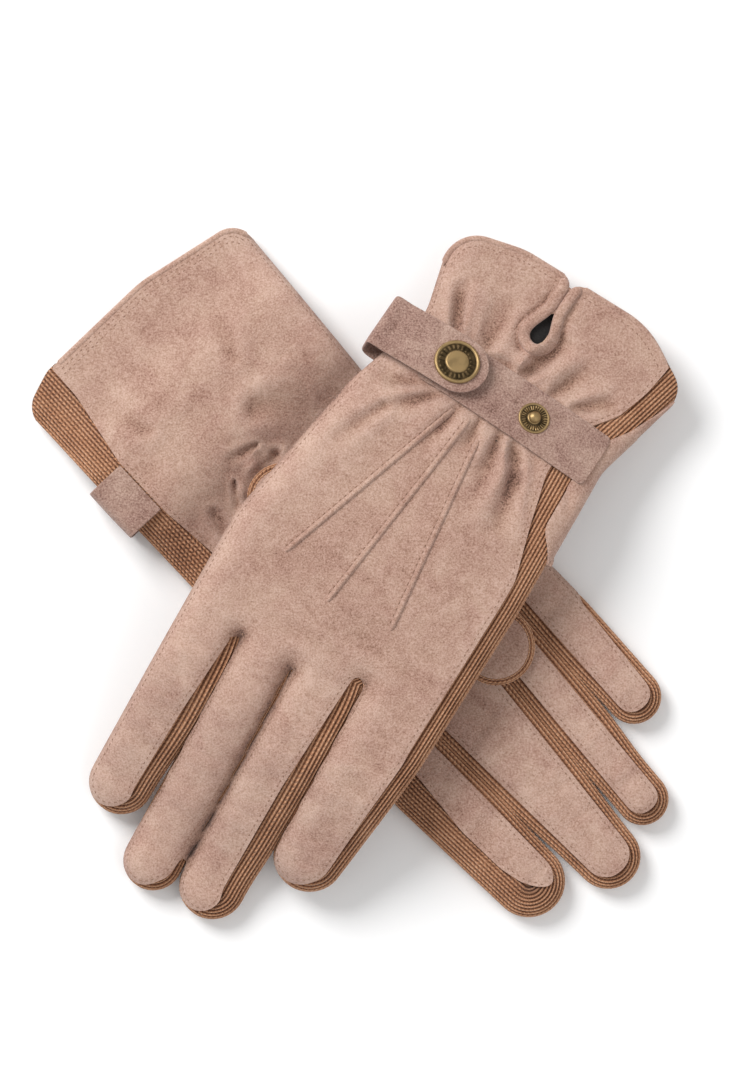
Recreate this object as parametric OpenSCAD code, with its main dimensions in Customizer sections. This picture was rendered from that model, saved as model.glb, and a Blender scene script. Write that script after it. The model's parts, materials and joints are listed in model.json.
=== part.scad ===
// A pair of suede driving gloves with ribbed knit sides, laid down crossed.
// The right glove lies below with its palm up; the left one lies on it with its back up.
// In a glove's own frame y runs from the cuff to the fingertips and x towards the index side.

/* [Glove] */
// Length from the cuff to the tip of the middle finger
glove_length = 245; // [205:1:295]
// Width across the knuckles
palm_width = 92; // [77:1:110]
// Thickness of a glove lying flat
glove_depth = 9; // [7.5:0.1:11]
// Thickness of the suede
suede = 1; // [0.8:0.05:1.2]
// Thickness of the knit side walls
knit = 1.6; // [1.3:0.1:2]
// Thickness of the lining
lining_wall = 0.8; // [0.6:0.05:1]
// How far the suede edge stays back from the knit
edge_step = 1.2; // [0.8:0.1:1.5]
// Gap between two fingers where they part
finger_gap = 1.6; // [1:0.1:2.4]
// Where the lining ends, from the cuff
lining_start = 4; // [2:0.5:8]

/* [Thumb] */
// Thickness of a thumb folded flat
thumb_depth = 6.5; // [5:0.1:8]
// Radius of the thumb hole in the palm
thumb_hole_r = 9; // [7:0.5:10]
// Thickness of the thumb's knit wall
thumb_knit = 1.4; // [1:0.1:1.8]

/* [Wrist strap] */
// Width of the strap
strap_width = 20; // [16:0.5:24]
// Thickness of the strap
strap_leather = 1; // [0.8:0.05:1.2]
// Middle of the left strap, from the cuff
left_strap_y = 38.5; // [36:0.5:42]
// Middle of the right strap, from the cuff
right_strap_y = 43; // [40:0.5:44]
// Where the tab folds, from the middle of the glove
tab_fold_x = 42; // [40:0.5:46]
// Where the strap wraps the index side
wrap_x = 51; // [48:0.5:60]
// Where the keeper ends on the palm
keeper_x = 38; // [34:0.5:40]
// Where the stud strap ends on the little side
stud_strap_end = -34; // [-40:0.5:-30]
// How far the stud strap runs on past the cap's centre
stud_strap_tail = 9; // [7:0.5:12]
// Gap at the tab's fold
fold_gap = 0.4; // [0.3:0.05:0.6]

/* [Snap] */
// Diameter of the cap
cap_d = 15.3; // [12:0.1:18.5]
// Height of the cap
cap_height = 1.45; // [1.2:0.05:1.8]
// Centre of the cap, from the middle of the glove
cap_x = 23; // [21:0.5:26]
// Centre of the stud that stays open
stud_x = -8.5; // [-12:0.5:-6]
// Diameter of the stud's flange
flange_d = 10.7; // [9:0.1:12]
// Thickness of the stud's flange
flange_height = 0.4; // [0.3:0.05:0.6]
// Radius of the stud
stud_r = 2; // [1.6:0.1:2.4]
// Height of the stud over its flange
stud_height = 2.05; // [1.7:0.05:2.5]
// Diameter of the socket under the tab
socket_d = 10.4; // [8.5:0.1:12]
// Play round the stud in the socket
snap_play = 0.45; // [0.4:0.05:0.6]
// Gap between the socket and the stud's flange
socket_gap = 0.3; // [0.2:0.05:0.4]
// Diameter of a post's foot under the stud strap
post_d = 8; // [6:0.1:9]
// Thickness of a post's foot
post_foot = 0.4; // [0.3:0.05:0.5]
// Radius of a post's shank
shank_r = 1.1; // [0.8:0.1:1.3]
// Gap between the back panel and what lies on it
skin_gap = 0.15; // [0.1:0.05:0.3]

/* [Cuff] */
// Where the vent slit starts, from the middle of the glove
vent_x = 5; // [2:0.5:8]
// How far the vent slit runs in from the cuff
vent_length = 14.5; // [11:0.5:18]
// Radius of the vent's round end
vent_r = 3; // [2:0.1:3.5]
// Width of the binding round the vent
binding = 2.5; // [2:0.1:3]
// How far the binding stands proud
binding_rise = 0.5; // [0.3:0.1:0.6]
// Width of the wrist elastic
elastic_width = 5; // [4:0.5:8]
// Thickness of the wrist elastic
elastic_depth = 0.4; // [0.3:0.05:0.5]
// Width of a stitched point on the back
point_width = 1.4; // [1:0.1:2]
// Depth of a stitched point's cord
point_depth = 0.5; // [0.3:0.05:0.6]

/* [Pose] */
// Angle of the left glove
left_turn = 146.3; // [140:0.1:155]
// Angle of the right glove
right_turn = -137; // [-150:0.1:-130]
// Where the other glove crosses the left one, from the cuff
left_cross = 111; // [105:1:118]
// Where the other glove crosses the right one, from the cuff
right_cross = 124; // [115:1:135]
// Height of the left cuff over the table
left_cuff_rise = 10; // [9.5:0.1:12]
// Height of the right cuff over the table
right_cuff_rise = 1; // [0.8:0.1:2]
// Height of the left fingertips over the table
tip_rise = 0.5; // [0.3:0.1:1]
// Gap between two bodies that lie on each other
lay_gap = 0.3; // [0.25:0.05:0.5]

/* [Hidden] */
$fn = 64;

L = 0; // the left glove
R = 1; // the right glove
suede_colour = "#a4887c";
knit_colour = "#93623f";
lining_colour = "#2b2523";
brass_colour = "#9c8055";
dark_brass_colour = "#5b4c38";
thread_colour = "#8a6c60";

wide = palm_width / 92;
long = glove_length / 245;
reach = 40; // past the cuff and to each side, for cuts that run clear of the glove
far = glove_length + 60;

// An outline runs anticlockwise round discs [x, y, r]; a negative r is a hollow in the edge.
crotch_r = -finger_gap / 2 / wide;
cuff_discs = [[[-36, 7.5, 8], [-16, -0.4, 8], [20, 0.8, 8], [34, 8, 12]],
    [[-37.5, 7, 8.5], [-5, 1, 8], [33, 1.5, 8], [40, 4.5, 8.5]]];
index_side = [[[61, 30, -20], [40, 62, 9], [46.5, 118, 10]], [[36.5, 180, 11.8]]];
tips = [[[38.6, 215, 10.5], [15.2, 231, 9.4], [-6, 227, 10.8], [-27.3, 200.5, 11.8]],
    [[33, 227.5, 12.2], [8, 239.6, 10.9], [-13.5, 233.4, 8.8], [-34.8, 206.4, 9.2]]];
crotches = [[[32.5, 152], [12.3, 152], [-10, 143]], [[22.5, 162], [-9, 160], [-27, 150]]];
little_side = [[[-31.5, 155, 10], [-30, 95, 10], [-56.5, 42, -20]],
    [[-36.5, 170, 8.5], [-62, 75, -20]]];
thumbs = [[[6, 76, 12], [-8, 157, 12.5]], [[6, 78, 12], [-12.5, 162.5, 13]]];
points = [[[15, 53, 1], [35.7, 120, 0.8]], [[9, 53, 1], [15, 126, 0.8]], [[3, 54, 1], [-8, 123, 0.8]]];

// The edge of the suede where a broad band of the knit shows
band_edges = [[[-32, -40], [-32, 2], [-27, 25], [-22, 34], [-22, 51], [-27, 68], [-37, 98], [-90, 98],
        [-90, -40]],
    [[32, -40], [33, 6], [37.5, 32], [37.5, 55], [35.5, 74], [35.5, 165], [38, 200], [34, 232],
        [34, 300], [90, 300], [90, -40]]];

function sized(p) = [p.x * wide, p.y * long, (len(p) > 2 ? p[2] : crotch_r) * wide];
function cuff(g) = [for (p = cuff_discs[g]) [p.x * wide, p.y, p[2] * wide]];
function side(list) = [for (p = list) sized(p)];
function tip(g, i) = sized(tips[g][i]);
function crotch(g, i) = sized(crotches[g][i]);
function glove_discs(g) = concat(cuff(g), side(index_side[g]), [tip(g, 0), crotch(g, 0), tip(g, 1),
    crotch(g, 1), tip(g, 2), crotch(g, 2), tip(g, 3)], side(little_side[g]));
function thumb_discs(g) = side(thumbs[g]);

// Direction of the outward normal of the straight edge from disc a to disc b
function edge_normal(a, b) =
    atan2(b.y - a.y, b.x - a.x) - acos((a[2] - b[2]) / norm([b.x - a.x, b.y - a.y]));
function wrapped(angle, low) = angle - 360 * floor((angle - low) / 360);
function edge_points(discs, inset) = let (
    n = len(discs), d = [for (p = discs) [p.x, p.y, p[2] - inset]]
) [for (i = [0:n - 1]) let (
        here = d[i],
        from = edge_normal(d[(i + n - 1) % n], here),
        turn = wrapped(edge_normal(here, d[(i + 1) % n]) - from, here[2] > 0 ? -90 : -270),
        steps = max(1, ceil(abs(turn) / 15))
    ) for (s = [0:steps]) let (a = from + turn * s / steps)
        [here.x + here[2] * cos(a), here.y + here[2] * sin(a)]];

// Heights, from the snap up to the crossing
stud_base = skin_gap + post_foot + strap_leather;
socket_base = stud_base + flange_height + socket_gap;
tab_base = stud_base + flange_height + stud_height + skin_gap;
tab_top = tab_base + strap_leather;
snap_stack = tab_top + cap_height;
right_wrist_rise = snap_stack + skin_gap;
left_cross_rise = glove_depth + 3 * lay_gap + 2 * thumb_depth;

// A glove's lift over the table, as [distance from the cuff, height]
crossing_angle = left_turn - right_turn - 180;
cross_reach = (palm_width / 2 + 3) / sin(crossing_angle) + palm_width / 2 / tan(180 - crossing_angle);
strap_half = strap_width / 2;
thumb_end = [for (g = [L, R]) thumb_discs(g)[1].y + thumb_discs(g)[1][2]];
slope_from = left_strap_y - 18.5;
slope_to = left_strap_y + strap_half + 3.5;
droop_from = max(left_cross + cross_reach, thumb_end[L] + 2);
droop_to = droop_from + 50;
right_rise_to = right_strap_y - strap_half - 7;
right_fall_from = right_strap_y + strap_half + 1;
lifts = [[[-reach, left_cuff_rise], [slope_from, left_cuff_rise], [slope_to, left_cross_rise],
        [droop_from, left_cross_rise], [droop_to, tip_rise], [far, tip_rise]],
    [[-reach, right_cuff_rise], [right_rise_to - 12, right_cuff_rise], [right_rise_to, right_wrist_rise],
        [right_fall_from, right_wrist_rise], [right_fall_from + 12, 0], [far, 0]]];
strap_slopes = [atan((left_cross_rise - left_cuff_rise) / (slope_to - slope_from)), 0];
strap_y = [left_strap_y, right_strap_y];

// The middle of the pair's own box, from where the two gloves cross
turns = [left_turn, right_turn];
crossings = [left_cross, right_cross];
function placed(g, p) = let (x = p.x, y = p.y - crossings[g], a = turns[g])
    [x * cos(a) - y * sin(a), x * sin(a) + y * cos(a), p[2]];
solid_discs = [for (g = [L, R]) for (p = glove_discs(g)) if (p[2] > 0) placed(g, p)];
middle = [for (i = [0, 1])
    (min([for (p = solid_discs) p[i] - p[2]]) + max([for (p = solid_discs) p[i] + p[2]])) / 2];

module place(g) {
    translate([-middle.x, -middle.y, 0]) rotate([0, 0, turns[g]]) translate([0, -crossings[g], 0])
        children();
}

// A layer that follows the glove's lift, from height low to height high over its palm's face
module layer(g, low, high) {
    function at(h) = g == L ? h : glove_depth - h;
    edge = [min(at(low), at(high)), max(at(low), at(high))];
    rotate([90, 0, 90]) linear_extrude(2 * palm_width, center = true)
        polygon(concat([for (p = lifts[g]) [p.x, p.y + edge[0]]],
            [for (i = [len(lifts[g]) - 1:-1:0]) [lifts[g][i].x, lifts[g][i].y + edge[1]]]));
}
module sheet(g, low, high) {
    place(g) intersection() {
        layer(g, low, high);
        translate([0, 0, -reach]) linear_extrude(3 * reach + left_cross_rise) children();
    }
}

module outline(g, inset = 0) { polygon(edge_points(glove_discs(g), inset)); }
module band(g) { polygon([for (p = band_edges[g]) [p.x * wide, p.y * (p.y < 100 ? 1 : long)]]); }
module vent(grow) {
    polygon(edge_points([[vent_x, -reach / 2, vent_r / 2], [vent_x, vent_length, vent_r]], -grow));
}
module thumb_hole(g) {
    base = thumb_discs(g)[0];
    translate([base.x, base.y]) circle(r = thumb_hole_r);
}
module point_lines() {
    for (p = points) polygon(edge_points([for (q = p)
        [q.x * wide, q.y * (q.y > 100 ? long : 1), q[2] * point_width / 2]], 0));
}
module elastic_strip(g) {
    translate([stud_strap_end + 12, strap_y[g] - elastic_width / 2])
        square([cap_x + 9 - stud_strap_end - 12, elastic_width]);
}

// Which stretch of the knit edge each piece takes
module index_region(g) {
    c = cuff(g)[3];
    t = tip(g, 0);
    polygon([[c.x, -reach], [palm_width, -reach], [palm_width, far], [t.x, far], [t.x, t.y], [c.x, c.y]]);
}
module little_region(g) {
    c = cuff(g)[0];
    t = tip(g, 3);
    inner = crotch(g, 2).x - 5;
    polygon([[c.x, -reach], [c.x, c.y], [inner, 60 * long], [inner, 130 * long], [t.x, t.y],
        [t.x, far], [-palm_width, far], [-palm_width, -reach]]);
}
module fourchette_region(g, i) {
    a = tip(g, i);
    b = tip(g, i + 1);
    c = crotch(g, i);
    polygon([[a.x, far], [b.x, far], [b.x, b.y], [c.x - 4, c.y - 10], [c.x + 4, c.y - 10], [a.x, a.y]]);
}
module knit_wall(g) {
    sheet(g, suede, glove_depth - suede) intersection() {
        difference() { outline(g); outline(g, knit); }
        children();
    }
}

module back_panel(g) {
    color(suede_colour) difference() {
        sheet(g, glove_depth - suede, glove_depth) difference() {
            outline(g, edge_step);
            vent(binding);
            if (g == L) band(g);
        }
        sheet(g, glove_depth - point_depth, glove_depth + 1) point_lines();
    }
}
module palm_panel(g) {
    color(suede_colour) sheet(g, 0, suede) difference() {
        outline(g, edge_step);
        thumb_hole(g);
        if (g == R) band(g);
    }
}
module lining(g) {
    gone = knit + lining_wall;
    cuff_from = cuff(g)[0].x;
    color(lining_colour) difference() {
        sheet(g, suede, glove_depth - suede) intersection() {
            outline(g, knit);
            translate([-palm_width, lining_start]) square([2 * palm_width, far]);
        }
        sheet(g, suede + lining_wall, glove_depth - suede - lining_wall) {
            outline(g, gone);
            translate([cuff_from, -reach / 2]) square([cuff(g)[3].x - cuff_from, reach / 2 + 14]);
        }
        sheet(g, 0, suede + lining_wall + 1) thumb_hole(g);
        sheet(g, glove_depth - suede - lining_wall - 1, glove_depth) vent(binding);
        sheet(g, glove_depth - suede - elastic_depth, glove_depth) elastic_strip(g);
    }
}
module index_sidewall(g) {
    color(knit_colour) {
        knit_wall(g) index_region(g);
        if (g == R) sheet(g, 0, suede) intersection() { outline(g); band(g); }
    }
}
module little_sidewall(g) {
    color(knit_colour) {
        knit_wall(g) little_region(g);
        if (g == L) sheet(g, glove_depth - suede, glove_depth) intersection() { outline(g); band(g); }
    }
}
module fourchette(g, i) { color(knit_colour) knit_wall(g) fourchette_region(g, i); }
module vent_binding(g) {
    color(suede_colour) sheet(g, glove_depth - suede, glove_depth + binding_rise) intersection() {
        difference() { vent(binding); vent(0); }
        outline(g, edge_step);
    }
}
module wrist_elastic(g) {
    color(lining_colour) sheet(g, glove_depth - suede - elastic_depth, glove_depth - suede) elastic_strip(g);
}
module back_points(g) {
    color(thread_colour) sheet(g, glove_depth - point_depth, glove_depth) point_lines();
}

// The thumb lies flat on the palm, in a layer of its own
module thumb_sheet(g, low, high) { sheet(g, -lay_gap - high, -lay_gap - low) children(); }
module thumb_outline(g, inset) { polygon(edge_points(thumb_discs(g), inset)); }
module thumb_pad(g) {
    color(suede_colour) thumb_sheet(g, thumb_depth - suede, thumb_depth) thumb_outline(g, edge_step);
}
module thumb_back(g) {
    color(suede_colour) thumb_sheet(g, 0, suede) difference() {
        thumb_outline(g, edge_step);
        thumb_hole(g);
    }
}
module thumb_gusset(g) {
    color(knit_colour) thumb_sheet(g, suede, thumb_depth - suede) difference() {
        thumb_outline(g, 0);
        thumb_outline(g, thumb_knit);
    }
}

// The strap's own frame: x across the glove, z out of its back
module on_strap(g) {
    rise = [lifts[L][1].y + (strap_y[L] - slope_from) * tan(strap_slopes[L]) + glove_depth, right_wrist_rise];
    place(g) translate([0, strap_y[g], rise[g]]) mirror([0, 0, g]) rotate([strap_slopes[g], 0, 0])
        children();
}
module disc_at(x, z, r, h) { translate([x, 0, z]) cylinder(r = r, h = h); }
module snap_tab(g) {
    color(suede_colour) on_strap(g) difference() {
        union() {
            disc_at(cap_x - 1, tab_base, strap_half, strap_leather);
            translate([cap_x - 1, -strap_half, tab_base])
                cube([tab_fold_x - cap_x + 1, strap_width, strap_leather]);
        }
        disc_at(cap_x, tab_base - 1, shank_r, strap_leather + 2);
    }
}
module strap_anchor(g) {
    under = -glove_depth * cos(strap_slopes[g]) - skin_gap - strap_leather;
    color(suede_colour) on_strap(g) translate([0, strap_half, 0]) rotate([90, 0, 0])
        linear_extrude(strap_width) difference() {
            translate([keeper_x, under]) square([wrap_x + strap_leather - keeper_x, tab_top - under]);
            translate([keeper_x - 1, under + strap_leather])
                square([wrap_x - keeper_x + 1, tab_base - under - strap_leather]);
            translate([keeper_x - 1, 0]) square([tab_fold_x + fold_gap - keeper_x + 1, tab_top + 1]);
        }
}
module stud_strap(g) {
    color(suede_colour) on_strap(g) difference() {
        translate([stud_strap_end, -strap_half, skin_gap + post_foot])
            cube([cap_x + stud_strap_tail - stud_strap_end, strap_width, strap_leather]);
        for (x = [cap_x, stud_x]) disc_at(x, 0, shank_r, stud_base + 1);
    }
}
module snap_cap(g) {
    cap_r = cap_d / 2;
    color(brass_colour) on_strap(g) union() {
        translate([cap_x, 0, tab_top]) rotate_extrude()
            polygon([[0, 0], [cap_r, 0], [cap_r, cap_height - 0.6], [cap_r - 0.7, cap_height],
                [cap_r - 1.4, cap_height], [cap_r - 1.8, cap_height - 0.4], [cap_r - 3.6, cap_height - 0.4],
                [cap_r - 3.9, cap_height - 0.2], [cap_r - 6, cap_height], [0, cap_height]]);
        disc_at(cap_x, tab_base, shank_r, strap_leather);
    }
}
module snap_socket(g) {
    color(brass_colour) on_strap(g) difference() {
        disc_at(cap_x, socket_base, socket_d / 2, tab_base - socket_base);
        disc_at(cap_x, socket_base - 1, stud_r + snap_play, tab_base - socket_base + 2);
    }
}
module snap_studs(g) {
    color(dark_brass_colour) on_strap(g) for (x = [cap_x, stud_x]) difference() {
        translate([x, 0, stud_base]) rotate_extrude()
            polygon([[0, 0], [flange_d / 2, 0], [flange_d / 2, flange_height], [stud_r, flange_height],
                [stud_r, flange_height + stud_height - 0.5], [stud_r - 0.5, flange_height + stud_height],
                [0, flange_height + stud_height]]);
        disc_at(x, stud_base - 1, shank_r, 1 + flange_height);
    }
}
module stud_posts(g) {
    color(dark_brass_colour) on_strap(g) for (x = [cap_x, stud_x]) union() {
        disc_at(x, skin_gap, post_d / 2, post_foot);
        disc_at(x, skin_gap, shank_r, post_foot + strap_leather + flange_height);
    }
}

back_panel(L);  // left_back_panel
palm_panel(L);  // left_palm_panel
lining(L);  // left_lining
index_sidewall(L);  // left_index_sidewall
little_sidewall(L);  // left_little_sidewall
fourchette(L, 0);  // left_index_fourchette
fourchette(L, 1);  // left_middle_fourchette
fourchette(L, 2);  // left_ring_fourchette
thumb_pad(L);  // left_thumb_pad
thumb_back(L);  // left_thumb_back
thumb_gusset(L);  // left_thumb_gusset
strap_anchor(L);  // left_strap_anchor
snap_tab(L);  // left_snap_tab
stud_strap(L);  // left_stud_strap
snap_cap(L);  // left_snap_cap
snap_socket(L);  // left_snap_socket
snap_studs(L);  // left_snap_studs
stud_posts(L);  // left_stud_posts
vent_binding(L);  // left_vent_binding
wrist_elastic(L);  // left_wrist_elastic
back_points(L);  // left_back_points
back_panel(R);  // right_back_panel
palm_panel(R);  // right_palm_panel
lining(R);  // right_lining
index_sidewall(R);  // right_index_sidewall
little_sidewall(R);  // right_little_sidewall
fourchette(R, 0);  // right_index_fourchette
fourchette(R, 1);  // right_middle_fourchette
fourchette(R, 2);  // right_ring_fourchette
thumb_pad(R);  // right_thumb_pad
thumb_back(R);  // right_thumb_back
thumb_gusset(R);  // right_thumb_gusset
strap_anchor(R);  // right_strap_anchor
snap_tab(R);  // right_snap_tab
stud_strap(R);  // right_stud_strap
snap_cap(R);  // right_snap_cap
snap_socket(R);  // right_snap_socket
snap_studs(R);  // right_snap_studs
stud_posts(R);  // right_stud_posts
vent_binding(R);  // right_vent_binding
wrist_elastic(R);  // right_wrist_elastic
back_points(R);  // right_back_points
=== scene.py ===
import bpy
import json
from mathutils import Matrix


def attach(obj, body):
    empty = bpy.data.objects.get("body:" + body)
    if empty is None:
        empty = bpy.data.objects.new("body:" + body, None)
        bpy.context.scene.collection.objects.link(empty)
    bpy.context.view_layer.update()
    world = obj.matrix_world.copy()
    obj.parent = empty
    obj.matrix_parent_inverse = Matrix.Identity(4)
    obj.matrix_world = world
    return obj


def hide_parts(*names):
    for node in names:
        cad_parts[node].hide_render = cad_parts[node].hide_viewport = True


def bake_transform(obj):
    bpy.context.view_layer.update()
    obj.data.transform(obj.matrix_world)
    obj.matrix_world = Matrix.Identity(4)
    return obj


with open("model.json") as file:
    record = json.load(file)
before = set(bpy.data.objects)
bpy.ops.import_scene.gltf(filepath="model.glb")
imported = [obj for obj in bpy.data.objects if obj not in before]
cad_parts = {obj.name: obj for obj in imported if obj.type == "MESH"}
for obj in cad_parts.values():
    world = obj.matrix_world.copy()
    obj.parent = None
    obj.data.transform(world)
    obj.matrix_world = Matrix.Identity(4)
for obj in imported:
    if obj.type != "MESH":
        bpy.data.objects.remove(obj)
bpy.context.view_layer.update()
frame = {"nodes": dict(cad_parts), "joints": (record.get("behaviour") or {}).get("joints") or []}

import json
import math

import bmesh
import bpy
import mathutils
import numpy as np

# How the pair lies. Lengths are in mm; a glove's own y runs from cuff to fingertips, its x to the index side.
pose = {
    "turn": {"left": 146.3, "right": -137.0},   # angle of each glove on the table
    "depth": 9.0,                               # thickness of a glove lying flat
    "lift": {                                   # height of a glove's underside along its length
        "left": [(-60, 10), (20, 10), (52, 22.9), (172, 22.9), (222, 0.5), (320, 0.5)],
        "right": [(-60, 1), (14, 1), (26, 6.75), (54, 6.75), (66, 0), (320, 0)],
    },
    "liftSoftness": 7.0,                        # how far to each side the lift is averaged
    "strapY": {"left": 38.5, "right": 43.0},
    "strapTilt": {"left": 21.956, "right": 0.0},    # degrees, about the line across the strap
    "strapRise": {"left": 26.458, "right": 6.75},   # height of the middle of the wrist under the strap
}


def turned(hand, x, y):
    # turn a plan vector from the glove's frame into the row's
    a = math.radians(pose["turn"][hand])
    return x * math.cos(a) - y * math.sin(a), x * math.sin(a) + y * math.cos(a)


thumbBase = {"left": (6.0, 76.0), "right": (6.0, 78.0)}  # each thumb swings about the middle of its hole
origin = {}
for hand in ("left", "right"):
    place = [1000 * v for j in frame["joints"] if j["name"] == hand + "_thumb_swing" for v in j["pos_m"]]
    tx, ty = turned(hand, thumbBase[hand][0], thumbBase[hand][1])
    origin[hand] = (place[0] - tx, place[1] - ty)


def toRow(hand, x, y, z):
    # glove frame in mm to row frame in metres: turn about z, then shift
    rx, ry = turned(hand, np.asarray(x, float), np.asarray(y, float))
    points = np.stack(np.broadcast_arrays(rx + origin[hand][0], ry + origin[hand][1], z), -1)
    return points / 1000


def strapToRow(hand, u, v, w):
    # strap frame (across, along, out of the back) to row frame: tilt about the across axis, upside down
    # for the right glove
    t = math.radians(pose["strapTilt"][hand])
    up = -1 if hand == "right" else 1
    w = w - strapArch(hand, u)
    y = v * math.cos(t) - w * math.sin(t)
    z = (v * math.sin(t) + w * math.cos(t)) * up
    return toRow(hand, u, pose["strapY"][hand] + y, pose["strapRise"][hand] + z)


def edgeNormal(a, b):
    # the way out of the straight edge that touches two discs (x, y, r), when the outline runs anticlockwise
    d = math.hypot(b[0] - a[0], b[1] - a[1])
    return math.atan2(b[1] - a[1], b[0] - a[0]) - math.acos((a[2] - b[2]) / d)


def depthInside(path, x, y):
    # signed distance to the closed path (positive inside), and the place along the path that is nearest
    flat = np.stack([x.ravel(), y.ravel()], -1)
    a, b = path, np.roll(path, -1, 0)
    e = b - a
    length2 = (e ** 2).sum(1)
    depth, place = np.empty(len(flat)), np.empty(len(flat))
    for s in range(0, len(flat), 4000):
        p = flat[s:s + 4000, None, :]
        t = np.clip(((p - a) * e).sum(2) / length2, 0, 1)
        off = p - a - t[..., None] * e
        d2 = (off ** 2).sum(2)
        near = d2.argmin(1)
        rows = np.arange(len(near))
        crosses = (a[:, 1] > p[..., 1]) != (b[:, 1] > p[..., 1])
        with np.errstate(divide="ignore", invalid="ignore"):
            right = p[..., 0] < e[:, 0] * (p[..., 1] - a[:, 1]) / e[:, 1] + a[:, 0]
        inside = (crosses & right).sum(1) % 2 == 1
        depth[s:s + 4000] = np.sqrt(d2[rows, near]) * np.where(inside, 1, -1)
        place[s:s + 4000] = near + t[rows, near]
    return depth.reshape(x.shape), place.reshape(x.shape)


def runAlong(points):
    # distance covered at each point of a line
    return np.concatenate([[0], np.cumsum(np.linalg.norm(np.diff(points, axis=0), axis=1))])


def placesAt(points, run, at):
    # points of a line at the given distances along it
    return np.stack([np.interp(at, run, points[:, k]) for k in range(points.shape[1])], -1)


def runsOf(good):
    # first and one past the last index of each stretch where good holds
    edges = np.flatnonzero(np.diff(np.concatenate([[0], good.astype(int), [0]])))
    return zip(edges[::2], edges[1::2])


# the plan of a glove is a grid of 1 mm, and what varies over it is a field on that grid
span = {"x": (-72.0, 84.0), "y": (-26.0, 262.0), "step": 1.0}
gridX = np.arange(span["x"][0], span["x"][1] + 0.1, span["step"])
gridY = np.arange(span["y"][0], span["y"][1] + 0.1, span["step"])
planX, planY = np.meshgrid(gridX, gridY, indexing="ij")


def sample(field, x, y):
    # value of a field between its grid points, linear both ways
    fx = np.clip((x - span["x"][0]) / span["step"], 0, len(gridX) - 1.001)
    fy = np.clip((y - span["y"][0]) / span["step"], 0, len(gridY) - 1.001)
    i, j = fx.astype(int), fy.astype(int)
    a, b = fx - i, fy - j
    return ((field[i, j] * (1 - a) + field[i + 1, j] * a) * (1 - b)
            + (field[i, j + 1] * (1 - a) + field[i + 1, j + 1] * a) * b)


def smoothStep(low, high, value):
    t = np.clip((value - low) / (high - low), 0, 1)
    return t * t * (3 - 2 * t)


def softNoise(x, y, size, seed):
    # random values on a lattice of the given size, joined smoothly: between -1 and 1
    table = np.random.default_rng(seed).uniform(-1, 1, (64, 64))
    fx, fy = x / size + 31.3, y / size + 17.9
    i, j = np.floor(fx).astype(int), np.floor(fy).astype(int)
    a, b = fx - i, fy - j
    a, b = a * a * (3 - 2 * a), b * b * (3 - 2 * b)
    i, j, i2, j2 = i % 64, j % 64, (i + 1) % 64, (j + 1) % 64
    near, far = table[i, j] * (1 - a) + table[i2, j] * a, table[i, j2] * (1 - a) + table[i2, j2] * a
    return near * (1 - b) + far * b


def lineDistance(x, y, ax, ay, bx, by):
    # distance to a line's stretch, how far along it (0 to 1), and the signed side
    ex, ey = bx - ax, by - ay
    length = math.hypot(ex, ey)
    t = np.clip(((x - ax) * ex + (y - ay) * ey) / length ** 2, 0, 1)
    dx, dy = x - ax - t * ex, y - ay - t * ey
    return np.hypot(dx, dy), t, (ex * (y - ay) - ey * (x - ax)) / length


def fold(x, y, ax, ay, bx, by, width, depth, fade=0.6):
    # a valley along a line, deepest at its start, with a soft shoulder on each side
    d, t, side = lineDistance(x, y, ax, ay, bx, by)
    strength = (1 - t) ** fade * depth
    width = width * (0.7 + 0.8 * t)
    return strength * (0.45 * np.exp(-((d - 2.0 * width) / (1.1 * width)) ** 2) - np.exp(-(d / width) ** 2))


def middleHeight(hand, y):
    # the lift averaged over a few mm each way, so that its corners are soft, plus half the thickness
    knots = np.array(pose["lift"][hand], float)
    offsets = np.linspace(-1, 1, 9) * pose["liftSoftness"]
    return sum(np.interp(y + o, knots[:, 0], knots[:, 1]) for o in offsets) / 9 + pose["depth"] / 2


# each glove's outline runs anticlockwise round discs (x, y, r), and a negative r is a hollow
crotchRadius = -0.5
cuffDiscs = {
    "left": [(-36, 7.5, 8), (-16, 21.6, 30), (20, 22.8, 30), (34, 8, 12)],
    "right": [(-37.5, 7, 8.5), (-5, 33, 40), (33, 1.5, 8), (40, 4.5, 8.5)],
}
sideDiscs = {
    "left": ([(61, 30, -20), (40, 62, 9), (46.5, 118, 10)],
             [(-31.5, 155, 10), (-30, 95, 10), (-56.5, 42, -20)]),
    "right": ([(36.5, 180, 11.8)], [(-36.5, 170, 8.5), (-62, 75, -20)]),
}
tipDiscs = {
    "left": [(38.6, 215, 10.8), (15.2, 231, 10.0), (-6, 227, 11.2), (-27.3, 200.5, 12.0)],
    "right": [(33, 227.5, 12.2), (8, 239.6, 10.9), (-13.5, 233.4, 8.8), (-34.8, 206.4, 9.2)],
}
crotches = {"left": [(32.5, 152), (12.3, 152), (-10, 143)], "right": [(22.5, 162), (-9, 160), (-27, 150)]}
thumbDiscs = {"left": [(6, 76, 12), (-8, 157, 12.5)], "right": [(6, 78, 12), (-12.5, 162.5, 13)]}

glove = {
    "rim": 9.0,              # how far in the rounded edge reaches
    "half": 4.0,             # from the middle to the suede's own middle
    "suede": 1.0,            # thickness of the suede
    "openCuff": 40.0,        # the rounding ignores the cuff, so that its mouth stays open
    "pathStep": 1.1,
}


def carriedOn(disc, a, b, openCuff):
    # a corner disc moved down along the line that its side follows, from disc a to disc b
    normal = edgeNormal(a, b)
    shift = openCuff / abs(math.cos(normal))
    x, y = -math.sin(normal) * shift, math.cos(normal) * shift
    sign = -1 if y > 0 else 1
    return disc[0] + sign * x, disc[1] + sign * y, disc[2]


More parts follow.
